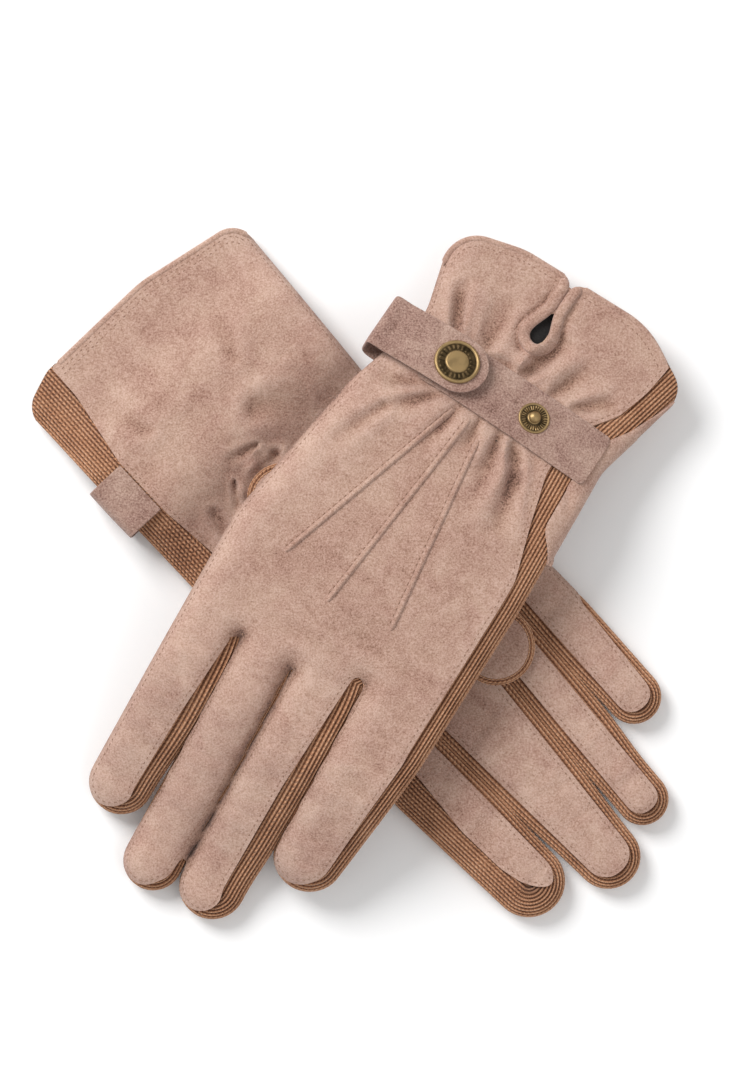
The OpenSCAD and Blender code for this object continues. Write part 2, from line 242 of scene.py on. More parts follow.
def handDiscs(hand, openCuff):
    index, little = sideDiscs[hand]
    corners = cuffDiscs[hand]
    cuff = [(x, y - openCuff, r) for x, y, r in corners]
    if openCuff:
        cuff[0] = carriedOn(corners[0], little[-1], corners[0], openCuff)
        cuff[-1] = carriedOn(corners[-1], corners[-1], index[0], openCuff)
    fingers = []
    for i, tip in enumerate(tipDiscs[hand]):
        fingers.append(tip)
        if i < 3:
            fingers.append((*crotches[hand][i], crotchRadius))
    return cuff + index + fingers + little


class Outline:
    # a closed outline: its points, the station of each (the disc's number, with halves between two discs) and
    # its inward normals
    def __init__(self, discs, step):
        points, stations = [], []
        n = len(discs)
        for i, here in enumerate(discs):
            start = edgeNormal(discs[i - 1], here)
            turn = edgeNormal(here, discs[(i + 1) % n]) - start
            low = -math.pi / 2 if here[2] > 0 else -1.5 * math.pi
            turn -= 2 * math.pi * math.floor((turn - low) / (2 * math.pi))
            a = start + turn * np.linspace(0, 1, max(3, int(abs(turn * here[2]) / 0.4)))
            points.append(np.stack([here[0] + here[2] * np.cos(a), here[1] + here[2] * np.sin(a)], -1))
            stations.append(np.linspace(i - 0.25, i + 0.25, len(a)))
        points, stations = np.concatenate(points), np.concatenate(stations)
        self.loop = np.concatenate([points, points[:1]])
        self.loopStations = np.concatenate([stations, [n - 0.25]])
        self.run = runAlong(self.loop)
        self.length = self.run[-1]
        at = np.linspace(0, self.length, int(self.length / step), endpoint=False)
        self.points = placesAt(self.loop, self.run, at)
        self.stations = self.stationOf(np.append(at, self.length))

    def at(self, distance):
        # point and inward normal at a distance along the outline
        behind, here, ahead = (placesAt(self.loop, self.run, distance + o) for o in (-0.3, 0, 0.3))
        d = ahead - behind
        d /= np.maximum(np.hypot(d[:, 0], d[:, 1])[:, None], 1e-9)
        return here, np.stack([-d[:, 1], d[:, 0]], -1)

    def distanceOf(self, station):
        return np.interp(station, self.loopStations, self.run)

    def stationOf(self, distance):
        return np.interp(distance, self.run, self.loopStations)

    def fields(self, x, y):
        # signed distance in from the outline, and the station of the nearest point on it
        depth, place = depthInside(self.points, x, y)
        station = np.interp(place, np.arange(len(self.stations)), self.stations)
        return depth, station


# how much fuller than flat each glove lies: (y, share) along its upper side; its lower side lies flat
fullness = {
    "left": [(-30, 1.3), (8, 1.3), (27, 1.0), (70, 1.0), (100, 1.45), (150, 1.55), (300, 1.55)],
    "right": [(-30, 1.25), (14, 1.25), (34, 1.0), (165, 1.0), (188, 1.5), (300, 1.5)],
}


def swell(hand, up, y):
    full = np.array(fullness[hand])
    share = sum(np.interp(y + o, full[:, 0], full[:, 1]) for o in (-5, 0, 5)) / 3
    return np.where(np.asarray(up) > 0, share, 1.0)


def rounded(d, rim, half):
    # quarter of an ellipse from the silhouette up, then level: half * sqrt(1 - (1 - d/rim)^2)
    t = np.clip(d / rim, 0, 1)
    return half * np.sqrt(np.maximum(1 - (1 - t) ** 2, 0))


# how far the suede stops short of the silhouette, by station: (station, mm)
inset = {
    "left": {
        1: [(-0.3, 0), (6.85, 0), (6.95, 0.6), (7.08, 3.4), (7.25, 6.0), (7.5, 4.4), (7.75, 1.6), (7.9, 0.3),
            (8, 0), (8.88, 0), (8.98, 0.8), (9.12, 3.2), (9.25, 2.6), (9.4, 0.6), (10, 0.3), (10.85, 0),
            (10.97, 1.0), (11.12, 5.0), (11.25, 7.6), (11.5, 6.6), (11.75, 3.2), (11.9, 0.8), (12, 0),
            (12.88, 0), (12.98, 1.0), (13.12, 3.6), (13.5, 5.2), (14, 6.0), (15, 6.4), (16, 6.0)],
        -1: [(-0.3, 2.5), (6.8, 2.5), (7, 4), (7.2, 2.5), (8, 1.2), (8.8, 2.5), (9, 4), (9.2, 2.5), (10, 1.2),
             (10.8, 2.5), (11, 4), (11.2, 2.5), (12, 1.2), (12.8, 2.5), (13, 4), (13.2, 2.5), (16, 2.5)],
    },
    "right": {
        1: [(-0.3, 0), (4, 3.5), (4.8, 3.8), (5, 5), (5.25, 3.2), (5.75, 2.6), (6, 1.4), (6.25, 2.6),
            (6.75, 3.2), (7, 4.8), (7.25, 3.2), (7.75, 2.6), (8, 1.4), (8.25, 2.6), (8.75, 3.2), (9, 4.8),
            (9.25, 3.2), (9.75, 2.6), (10, 1.4), (10.25, 2.6), (10.75, 3.2), (11, 4.8), (11.25, 3.2),
            (11.75, 1.5), (12.3, 0), (13.7, 0)],
        -1: [(-0.3, 1.2), (13, 1.2)],
    },
}
# the suede's edge where a wide knit band runs up the side: (y, x)
band = {
    "left": {1: [(-40, -37), (0, -36.5), (10, -35.2), (21, -31.9), (30, -25.5), (35, -22), (51, -22),
                 (68, -27), (98, -37), (110, -60)]},
    "right": {1: [(-40, 32), (6, 33), (32, 37.5), (55, 37.5), (74, 35.5), (165, 35.5), (200, 38), (218, 37),
                  (226, 35), (231, 32), (235, 27), (237, 20), (300, -40)]},
}


def insetAt(hand, up, station):
    table = np.array(inset[hand][up], float)
    return np.interp(station, table[:, 0], table[:, 1])


def bandGap(hand, up, x, y):
    # how far in from the knit band's edge a place lies
    edge = np.array(band[hand][up], float)
    at = np.interp(y, edge[:, 0], edge[:, 1])
    return x - at if hand == "left" else at - x


# the keyhole in the cuff: its slit is half "slit" wide and widens from y "start" to its round end
vent = {
    "x": 5.4, "start": 3.0, "round": 14.0, "radius": 3.0, "slit": 0.2,
    "corner": 4.2,                            # radius of the corners where the slit opens
    "edge": {"left": -7.6, "right": -7.2},    # y of the cuff there
    "groove": 4.6,                            # how far out the leather dips round the binding
    "notch": {"left": 3.2, "right": 0.0},     # how much shorter the palm is behind it
}


def ventGap(hand, x, y):
    # distance outside a keyhole: a slit from the cuff that widens into a round end, its corners rounded off
    half = vent["slit"] + (vent["radius"] - vent["slit"]) * smoothStep(vent["start"], vent["round"], y)
    across = np.abs(x - vent["x"])
    drop = np.hypot(x - vent["x"], y - vent["round"]) - vent["radius"]
    cx, cy = vent["slit"] + vent["corner"], vent["edge"][hand] + vent["corner"]
    corner = vent["corner"] - np.hypot(across - cx, y - cy)
    gap = np.where(y > vent["round"], drop, across - half)
    return np.where((across < cx) & (y < cy), corner, gap)


# folds and gathers: (x, y) to (x, y), width and depth in mm
folds = {
    "left": {
        1: [(28, 30, 37, 13, 1.7, 4.4), (17, 29, 21, 8, 2.6, 2.4), (2, 27, -4, 9, 2.4, 4.2),
            (14, 29, 1, 28, 1.8, 2.4), (25, 46, 40, 55, 1.9, 4.2), (22, 48, 36, 63, 1.9, 2.6),
            (14, 48, 18, 68, 2.0, 2.0), (6, 48, 5, 60, 1.5, 2.2), (-2, 48, -5, 62, 1.6, 2.2),
            (-8, 49, -17, 62, 2.0, 4.0), (-14, 58, -19, 78, 2.6, 2.4), (-18, 28, -29, 18, 1.8, 3.0),
            (-9, 29, -15, 12, 2.0, 2.0), (35, 62, 45, 86, 2.2, 1.2)],
        -1: [(20, 50, 28, 70, 2, 0.8), (-10, 50, -14, 72, 2, 0.8)],
    },
    "right": {
        1: [(-8, 50, -24, 60, 5.0, 1.6), (0, 59, 12, 56, 1.1, 1.3), (14, 63, 20, 72, 1.0, 1.6),
            (-3, 66, 4, 64, 2.0, 1.8), (24, 30, 31, 12, 3.0, 0.8), (26, 66, 30, 92, 2.2, 0.9),
            (-14, 32, -22, 12, 3.0, 0.7)],
        -1: [(8, 50, 10, 70, 2, 0.7), (-16, 50, -22, 70, 2, 0.8)],
    },
}
# gathers fan out from x "middle"; for each glove, the strap's y, and where they fade towards cuff and fingers
gather = {
    "middle": 8.0, "size": 7.5, "depth": 1.7,
    "left": (38.5, 30, 4, 47, 84), "right": (43.0, 34, 12, 52, 84),
}


def gathers(hand, x, y):
    # valleys that fan out from the strap on both sides: sharp where the noise crosses zero, and fading
    at, near, end, nearFar, endFar = gather[hand]
    spread = 1 + np.abs(y - at) / 38
    across = (x - gather["middle"]) / spread
    noise = softNoise(across / gather["size"], np.sign(y - at) * 7 + y / 60, 1.0, 90)
    valley = np.minimum(np.abs(noise) * 1.9, 1) ** 0.7 - 0.75
    fade = np.where(y < at, smoothStep(end, near, y), 1 - smoothStep(nearFar, endFar, y))
    return gather["depth"] * valley * fade * (1 - smoothStep(30, 42, np.abs(x)))


# round the thumb hole: radii of the hole, the ridge and the fold, and how far the last two wander
pucker = {
    "hole": 11.0, "ring": 14.6, "height": 1.3, "fold": 20.0, "foldDepth": 1.5, "count": 13, "wander": 2.6,
}


def thumbPucker(hand, x, y):
    # round the thumb hole a gathered ridge, and outside it a fold, on the side towards the cuff
    dx, dy = x - thumbBase[hand][0], y - thumbBase[hand][1]
    r, a = np.hypot(dx, dy), np.arctan2(dy, dx)
    towards = smoothStep(-0.3, 0.5, -np.sin(a))
    wander = pucker["wander"] * softNoise(a * 1.4, r / 40, 1.0, 23)
    ridge = pucker["height"] * np.exp(-((r - pucker["ring"] - 0.4 * wander) / 2.2) ** 2)
    ridge = ridge * (1 + 0.4 * np.cos(a * pucker["count"] + 1.3 * np.sin(a * 3)))
    broken = smoothStep(-0.3, 0.7, softNoise(a * 2.1, 5.0 + 0 * r, 1.0, 29))
    valley = pucker["foldDepth"] * np.exp(-((r - pucker["fold"] - wander) / 1.4) ** 2) * broken
    return (ridge - valley) * towards * (0.35 if hand == "left" else 1.0)


arch = {"left": 3.2, "right": 0.0}   # how far the strap's ends bend down round the wrist


def strapArch(hand, u):
    across = np.clip(np.asarray(u, float) - gather["middle"], -50, 38) / 36
    return arch[hand] * across ** 2 * np.where(across < 0, 0.3, 1.0)


wrinkle = {"height": 0.22, "length": 13.0, "across": 4.5, "swell": 0.6, "swellSize": 26.0}
deepest = 2.9   # no fold goes in further than this
# fingers whose suede meets in a valley, with no knit to be seen: the valley's two ends, and half its width
touching = {"left": {1: [(12.3, 151, 5.5, 222)], -1: []}, "right": {1: [], -1: []}}
valleyHalf = 2.2


def blurred(field, cells):
    # a field averaged over a square, twice, so that it is nearly round
    kernel = np.ones(cells) / cells

    def average(row):
        return np.convolve(np.pad(row, cells // 2, mode="edge"), kernel, "valid")

    for axis in (0, 1, 0, 1):
        field = np.apply_along_axis(average, axis, field)
    return field


def wrinkled(hand, up):
    # everything that moves one side of a glove off its smooth shape, in mm out of it
    detail = sum(fold(planX, planY, *f) for f in folds[hand][up])
    if up > 0:
        detail = detail + gathers(hand, planX, planY) * (1.0 if hand == "left" else 0.15)
        atStrap = smoothStep(14, 30, planY) * (1 - smoothStep(50, 68, planY))
        detail = detail - strapArch(hand, planX) * atStrap
    if up == backUp[hand]:
        # a groove round the vent's rolled binding
        groove = np.exp(-((ventGap(hand, planX, planY) - vent["groove"]) / 0.8) ** 2)
        detail = detail - groove * smoothStep(-5, 2, planY)
    # the leather swells a little between its folds, and creases finely across each finger
    seed = {"left": 3, "right": 11}[hand] + up
    detail = detail + wrinkle["swell"] * softNoise(planX, planY, wrinkle["swellSize"], seed)
    across, along = planX / wrinkle["length"], planY / wrinkle["across"]
    creases = softNoise(across, along, 1.0, seed + 20)
    creases += 0.5 * softNoise(across * 2, along * 2, 1.0, seed + 30)
    detail = detail + wrinkle["height"] * creases * (0.5 + smoothStep(90, 150, planY))
    if up != backUp[hand]:
        detail = detail + thumbPucker(hand, planX, planY)
    # a fold stops short of the other side
    return np.where(detail < 0, -deepest * np.tanh(-detail / deepest), detail)


def panelKeep(hand, up, depth, station, cuff):
    # how far in from the edge of the suede a place lies, first with no cuff or holes and then with them
    keep = depth - insetAt(hand, up, station)
    for ax, ay, bx, by in touching[hand][up]:
        seam, _, _ = lineDistance(planX, planY, ax, ay, bx, by)
        keep = np.maximum(keep, valleyHalf - seam)
    if up in band[hand]:
        keep = np.minimum(keep, bandGap(hand, up, planX, planY))
    reach = blurred(keep, 3)
    notch = 0
    if up != backUp[hand]:
        # the palm stops a little short behind the vent
        notch = vent["notch"][hand] * np.exp(-((planX - vent["x"]) / 5) ** 2)
    keep = np.minimum(reach, cuff - notch + np.where(planY < cuffZone, 0, 50))
    if up == backUp[hand]:
        return reach, np.minimum(keep, ventGap(hand, planX, planY))
    bx, by = thumbBase[hand]
    return reach, np.minimum(keep, np.hypot(planX - bx, planY - by) - pucker["hole"])


backUp = {"left": 1, "right": -1}   # which way the back of each glove faces
cuffZone = 25                       # the cuff's own edge counts only below this y
gloves = {}
for hand in ("left", "right"):
    body = Outline(handDiscs(hand, glove["openCuff"]), glove["pathStep"])
    true = Outline(handDiscs(hand, 0), glove["pathStep"])
    depth, station = body.fields(planX, planY)
    cuff, _ = true.fields(planX, planY)
    here = {"outline": body, "cuffOutline": true, "depth": depth, "cuff": cuff,
            "detail": {}, "keep": {}, "reach": {}, "painted_crease_shade": {}}
    for up in (1, -1):
        # nothing moves at the silhouette, where the two sides join
        here["detail"][up] = wrinkled(hand, up) * smoothStep(0, 6, depth)
        here["reach"][up], here["keep"][up] = panelKeep(hand, up, depth, station, cuff)
    # under the strap the leather lies flat
    flat = 1 - smoothStep(8, 14, np.abs(planY - pose["strapY"][hand]))
    strapSide = backUp[hand]
    here["detail"][strapSide] = here["detail"][strapSide] * (1 - 0.8 * flat) - 0.3 * flat
    for up in (1, -1):
        # painted shade in each valley and painted highlight along each ridge, for the suede's colour: how far
        # a place lies below its surroundings
        height = here["detail"][up] + rounded(depth, glove["rim"], glove["half"]) * swell(hand, up, planY)
        here["painted_crease_shade"][up] = np.clip((blurred(height, 9) - height) / 1.1, -0.3, 1.1)
    # on the table the underside stays level: its swells go inwards only
    onTable = smoothStep(205, 222, planY) if hand == "left" else smoothStep(60, 72, planY)
    here["detail"][-1] = here["detail"][-1] * (1 - onTable) + np.minimum(here["detail"][-1], 0) * onTable
    gloves[hand] = here
print("glove fields worked out")


def gloveHeight(hand, up, x, y, out=0.0):
    # middle of the glove at y, plus or minus its rounded half depth and its folds, plus a distance out of it
    here = gloves[hand]
    half = rounded(sample(here["depth"], x, y), glove["rim"], glove["half"]) * swell(hand, up, y)
    return middleHeight(hand, y) + up * (half + sample(here["detail"][up], x, y) + out)


def makePiece(name, points, faces, materials, uv=None, values=None, smooth=True):
    # points in metres in the row's frame; faces is a list of index arrays, each of one corner count
    faces = [np.asarray(f, int) for f in faces if len(f)]
    points = np.asarray(points, float).reshape(-1, 3)
    used = np.zeros(len(points), bool)
    for f in faces:
        used[f.ravel()] = True
    again = np.cumsum(used) - 1
    points, faces = points[used], [again[f] for f in faces]
    mesh = bpy.data.meshes.new(name)
    mesh.from_pydata(points, [], [row for f in faces for row in f.tolist()])
    for material in materials:
        mesh.materials.append(material)
    if uv is not None:
        layer = mesh.uv_layers.new(name="weave")
        corners = np.zeros(len(mesh.loops), np.int32)
        mesh.loops.foreach_get("vertex_index", corners)
        layer.data.foreach_set("uv", np.asarray(uv, np.float32).reshape(-1, 2)[used][corners].ravel())
    for key, value in (values or {}).items():
        layer = mesh.attributes.new(key, "FLOAT", "POINT")
        layer.data.foreach_set("value", np.asarray(value, np.float32).ravel()[used])
    mesh.polygons.foreach_set("use_smooth", np.full(len(mesh.polygons), smooth))
    mesh.validate()
    mesh.update()
    piece = bpy.data.objects.new(name, mesh)
    bpy.context.scene.collection.objects.link(piece)
    return piece


def belongs(piece, body, slot, *nodes):
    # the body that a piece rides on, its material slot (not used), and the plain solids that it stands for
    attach(piece, body)
    if nodes:
        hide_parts(*nodes)


def thicken(piece, thickness, rimMaterial=0):
    # give a surface its thickness in mm, inwards, as plain mesh with crisp cut edges
    wall = piece.modifiers.new("thickness", "SOLIDIFY")
    wall.thickness, wall.offset, wall.material_offset_rim = thickness / 1000, -1, rimMaterial
    graph = bpy.context.evaluated_depsgraph_get()
    mesh = bpy.data.meshes.new_from_object(piece.evaluated_get(graph))
    old = piece.data
    piece.modifiers.clear()
    piece.data = mesh
    bpy.data.meshes.remove(old)
    mesh.set_sharp_from_angle(angle=math.radians(50))


def gridFaces(rows, columns, closeColumns=False, flip=False):
    # quads between neighbours on a rows by columns grid
    i, j = np.meshgrid(np.arange(rows - 1), np.arange(columns - (not closeColumns)), indexing="ij")
    i, j = i.ravel(), j.ravel()
    here, there, after = i * columns, (i + 1) * columns, (j + 1) % columns
    quads = np.stack([here + j, there + j, there + after, here + after], -1)
    return quads[:, ::-1] if flip else quads


def rollFaces(rows, columns, first):
    # a closed roll: rows of rings with a cap on each end, numbered from first
    ring = np.arange(columns)[None]
    return [gridFaces(rows, columns, closeColumns=True) + first, ring + first,
            ring[:, ::-1] + (rows - 1) * columns + first]


def crossProduct(a, b):
    return np.abs(a[:, 0] * b[:, 1] - a[:, 1] * b[:, 0])


def cutGrid(keep, x, y, step):
    # grid points where keep is positive, with the ones nearest its zero line moved onto that line
    gx, gy = np.gradient(keep, step)
    g2 = np.maximum(gx ** 2 + gy ** 2, 0.05)
    near = np.abs(keep) < 0.52 * step * np.sqrt(g2)
    sx = np.where(near, x - keep * gx / g2, x)
    sy = np.where(near, y - keep * gy / g2, y)
    inside = (keep > 0) | near
    number = np.full(keep.shape, -1)
    number[inside] = np.arange(inside.sum())
    corners = np.stack([number[:-1, :-1], number[1:, :-1], number[1:, 1:], number[:-1, 1:]], -1)
    corners = corners.reshape(-1, 4)
    full = (corners >= 0).all(1)
    three = (corners >= 0).sum(1) == 3
    triangles = corners[three]
    triangles = triangles[triangles >= 0].reshape(-1, 3)
    quads = corners[full]
    # faces squeezed flat onto the zero line are left out
    p = np.stack([sx[inside], sy[inside]], -1)
    a, b, c, d = (p[quads[:, k]] for k in range(4))
    quads = quads[crossProduct(c - a, d - b) / 2 / step ** 2 > 0.03]
    a, b, c = (p[triangles[:, k]] for k in range(3))
    triangles = triangles[crossProduct(b - a, c - a) / 2 / step ** 2 > 0.02]
    used = np.zeros(inside.sum(), bool)
    used[quads.ravel()] = True
    used[triangles.ravel()] = True
    again = np.cumsum(used) - 1
    return sx[inside][used], sy[inside][used], again[quads], again[triangles]


def suedePanel(hand, part, up):
    # the plan grid cut to the panel's edge, lifted to the glove's surface, then given the leather's thickness
    here = gloves[hand]
    x, y, quads, triangles = cutGrid(here["keep"][up], planX, planY, span["step"])
    z = gloveHeight(hand, up, x, y, glove["suede"] / 2)
    if up < 0:
        quads, triangles = quads[:, ::-1], triangles[:, ::-1]
    # the mesh carries its painted crease shade, which darkens the suede's colour in valleys and lightens it
    # on ridges
    piece = makePiece(f"{hand}_{part}_suede", toRow(hand, x, y, z), [quads, triangles], [suede, cutSuede],
                      values={"painted_crease_shade": sample(here["painted_crease_shade"][up], x, y)})
    thicken(piece, glove["suede"], 1)
    # the flat size is the outline's own, and a little more for the curve over the rounded sides
    a, b, c, d = (np.stack([x, y], -1)[quads[:, k]] for k in range(4))
    area = crossProduct(c - a, d - b).sum() / 2
    area = (area * 1.06 + len(triangles) * span["step"] ** 2 / 2) / 1e6
    belongs(piece, hand + "_glove", "suede", f"{hand}_{part}_panel")


knit = {
    "pitch": 1.25,        # a rib every 1.25 mm
    "rib": 0.3,           # half the height of a rib
    "sunk": 0.85,         # where suede covers it, the knit lies this much below the suede's middle
    "proud": 0.3,         # and elsewhere only this much
    "tuck": 2.0,          # how far it runs in under the suede
    "stitch": 1.7,        # a stitch every 1.7 mm along a rib
    "along": 1.0,         # the mesh's own steps, in mm
    "across": 0.24,
}


def wallProfile(topIn, bottomIn, rim, half, across):
    # across a wall: in from the top to the silhouette, round it by an ellipse, and in again below;
    # returns the distance in, the outward direction in and up, and the run from the top edge
    flat = {1: max(topIn - rim, 0), -1: max(bottomIn - rim, 0)}
    start = {1: math.acos(1 - min(topIn, rim) / rim), -1: math.acos(1 - min(bottomIn, rim) / rim)}
    count = int((start[1] + start[-1]) * (rim + half) / 2 / across)
    angle = np.linspace(start[1], -start[-1], count)
    size = np.hypot(half * np.cos(angle), rim * np.sin(angle))
    d, h = rim * (1 - np.cos(angle)), half * np.sin(angle)
    nd, nh = -half * np.cos(angle) / size, rim * np.sin(angle) / size
    for up in (1, -1):
        extra = rim + np.arange(int(flat[up] / across), 0, -1) * across
        level, zero = np.full(len(extra), half * up), np.zeros(len(extra))
        if up > 0:
            d, h = np.append(extra, d), np.append(level, h)
            nd, nh = np.append(zero, nd), np.append(zero + 1, nh)
        else:
            d, h = np.append(d, extra[::-1]), np.append(h, level)
            nd, nh = np.append(nd, zero), np.append(nh, zero - 1)
    return d, nd, nh, runAlong(np.stack([d, h], -1))


def cutEnds(plan, rise, faces, value):
    # along each column the strip ends just where its value falls to 0: later points gather on that place
    rows, columns = value.shape
    index = np.arange(rows * columns).reshape(rows, columns)
    plan, rise = plan.copy(), rise.copy()
    middle = rows // 2
    for j in range(columns):
        for order in (range(middle, rows), range(middle, -1, -1)):
            last = None
            for i in order:
                if value[i, j] < 0:
                    break
                last = i
            else:
                continue
            if last is None:
                continue
            t = value[last, j] / (value[last, j] - value[i, j])
            plan[i, j] = plan[last, j] * (1 - t) + plan[i, j] * t
            rise[i, j] = rise[last, j] * (1 - t) + rise[i, j] * t
            stop = np.arange(i, rows) if i > last else np.arange(0, i + 1)
            plan[stop, j], rise[stop, j], index[stop, j] = plan[i, j], rise[i, j], index[i, j]
    faces = index.ravel()[faces]
    same = [faces[:, a] == faces[:, b] for a, b in ((0, 1), (1, 2), (2, 3), (3, 0))]
    count = sum(v.astype(int) for v in same)
    quads, once = faces[count == 0], count == 1
    triangles = [faces[once & same[k]][:, [m for m in range(4) if m != k]] for k in range(4)]
    return plan, rise, quads, np.vstack(triangles)


def wrapStrip(name, hand, outline, between, widths, shape, across, outOf, heightOf, material, keepValue=None,
              spread=None):
    # a strip along the outline between two distances, wrapped from its top edge round to its lower one;
    # widths gives how far in each edge lies, outOf how far the surface stands out of the glove's own,
    # heightOf where that is, keepValue where the strip ends, and spread how far it bulges sideways
    rim, half = shape["rim"], shape["half"]
    along = np.linspace(between[0], between[1], max(4, int((between[1] - between[0]) / knit["along"])))
    here, normal = outline.at(along)
    width = {up: widths(up, here, outline.stationOf(along), normal) for up in (1, -1)}
    d, nd, nh, run = wallProfile(float(width[1].max()), float(width[-1].max()), rim, half, across)
    middle = int(np.argmin(d))
    side = np.where(np.arange(len(d)) <= middle, 1, -1)
    run = run - run[middle]
    # where the strip is narrower, its inmost columns close up just inside its edge
    limit = np.where(side > 0, width[1][:, None], width[-1][:, None])
    widest = np.where(side > 0, width[1].max(), width[-1].max())
    first = limit - 1.5
    squeeze = first + (d - first) * 1.5 / np.maximum(widest - first, 1.5)
    dd = np.where(d > first, squeeze, d)
    hh = side * rounded(dd, rim, half)
    # a wall that meets the next finger bulges towards it, most at the silhouette
    bulge = np.zeros(len(along)) if spread is None else spread(along, here, normal)
    stretch = 1 + (bulge / 14)[:, None]   # the ribs spread over the bulge
    out, value = outOf(run[None, :] * stretch, limit - dd)
    move = dd + nd * out - bulge[:, None] * (1 - smoothStep(0, 1, dd / limit))
    plan = here[:, None, :] + normal[:, None, :] * move[..., None]
    rise = np.broadcast_to(hh + nh * out, plan.shape[:2])
    uv = np.stack(np.broadcast_arrays(along[:, None] / 10, run[None, :] / 10), -1)
    faces, triangles = gridFaces(len(along), len(d)), np.zeros((0, 3), int)
    if keepValue is not None:
        plan, rise, faces, triangles = cutEnds(plan, rise, faces, keepValue(plan[..., 0], plan[..., 1]))
    x, y = plan[..., 0], plan[..., 1]
    z = heightOf(x, y, rise, side)
    # the rib value rides on the mesh for the knit's painted shade in the troughs and painted highlight on the
    # crests
    return makePiece(name, toRow(hand, x, y, z), [faces, triangles], [material], uv=uv.reshape(-1, 2),
                     values={"rib": np.broadcast_to(value, x.shape)})


def ribsOut(run, inside):
    # rounded ribs along the strip, a power of a cosine across it, sunk where the suede covers them
    wave = np.cos(run / knit["pitch"] * 2 * math.pi)
    ribs = knit["rib"] * np.sign(wave) * np.abs(wave) ** 0.7
    rise = (knit["sunk"] - knit["proud"]) * smoothStep(knit["tuck"], knit["tuck"] + 2.5, inside)
    # the second value is the rib's wave: the knit's colour turns it into painted shade in the troughs and
    # painted highlight on the crests
    return ribs - knit["sunk"] + rise, wave + 0 * inside


# which stations each wall runs between; the outer two start and end at the cuff
wallStations = {
    "left": {"index_sidewall": (3.3, 7), "index_fourchette": (7, 9), "middle_fourchette": (9, 11),
             "ring_fourchette": (11, 13), "little_sidewall": (13, 16.7)},
    "right": {"index_sidewall": (3.3, 5), "index_fourchette": (5, 7), "middle_fourchette": (7, 9),
              "ring_fourchette": (9, 11), "little_sidewall": (11, 13.7)},
}


def wallWidths(hand):
    def widths(up, points, station, normal):
        # step inwards from the silhouette to where the suede starts
        width = insetAt(hand, up, station)
        reach, found = gloves[hand]["reach"][up], np.zeros(len(points), bool)
        for t in np.arange(0, 24, 0.25):
            p = points + normal * t
            starts = ~found & (sample(reach, p[:, 0], p[:, 1]) > 0)
            width = np.where(starts, np.maximum(t, 0.1), width)
            found |= starts
        wide = np.pad(width, 2, mode="edge")
        wide = np.max([wide[k:k + len(width)] for k in range(5)], 0)
        wide = np.pad(wide, 2, mode="edge")
        return np.mean([wide[k:k + len(width)] for k in range(5)], 0) + knit["tuck"]
    return widths


def gloveStripHeight(hand):
    def height(x, y, h, side):
        here = gloves[hand]["detail"]
        bump = np.where(side > 0, sample(here[1], x, y), -sample(here[-1], x, y))
        return middleHeight(hand, y) + h * swell(hand, side, y) + bump
    return height


# share of the gap that a knit wall fills, and how far past that it goes
fourchette = {"left": (1.0, 1.3), "right": (0.5, 0.5)}


def gapToNext(hand):
    def spread(along, points, normal):
        # step outwards until the next finger starts; near a tip, or with none close by, there is no bulge
        station = gloves[hand]["outline"].stationOf(along)
        gap = np.zeros(len(along))
        for t in np.arange(6.6, 0.3, -0.3):
            p = points - normal * t
            gap = np.where(sample(gloves[hand]["depth"], p[:, 0], p[:, 1]) > 0, t, gap)
        first = 7 if hand == "left" else 5
        finger = np.round((station - first) / 2) * 2 + first
        fromTip = np.abs(station - finger)
        share, past = fourchette[hand]
        near = smoothStep(0.26, 0.5, fromTip) * (gap > 0) * (fromTip < 1.01)
        facing = 1 if hand == "right" else (station > finger)
        bulge = (gap * share + past) * near * facing * (1 - 0.75 * smoothStep(0.74, 0.86, fromTip))
        inRange = (station > first) & (station < first + 6)
        bulge = np.where(inRange, bulge, 0)
        kernel = np.hanning(31) / np.hanning(31).sum()
        return np.convolve(np.pad(bulge, 15, mode="edge"), kernel, mode="valid")
    return spread


def cuffKeep(hand, past):
    # a strip ends at the cuff, or a little past it
    def value(x, y):
        return sample(gloves[hand]["cuff"], x, y) + np.where(y < cuffZone, past, 50)
    return value


def makeWalls(hand):
    outline = gloves[hand]["outline"]
    for name, (low, high) in wallStations[hand].items():
        between = outline.distanceOf(np.array([low, high], float))
        piece = wrapStrip(f"{hand}_{name}_knit", hand, outline, between, wallWidths(hand), glove,
                          knit["across"], ribsOut, gloveStripHeight(hand), knitted, cuffKeep(hand, 0.3),
                          gapToNext(hand))
        belongs(piece, hand + "_glove", "knit", f"{hand}_{name}")


thumb = {
    "rim": 6.0, "half": 2.7, "inset": {"pad": 2.2, "back": 1.4}, "step": 0.9,
    "out": 0.3,                                  # how far the suede lies out of the rounded shape
    "middle": {"left": 19.35, "right": 12.55},   # height of each thumb's middle where it lies
    "sink": {"left": -2.2, "right": 2.2},        # and how far its root turns towards its own palm
}


def thumbMiddle(hand, y):
    base = thumbBase[hand][1]
    return thumb["middle"][hand] - thumb["sink"][hand] * (1 - smoothStep(base - 2, base + 26, y))


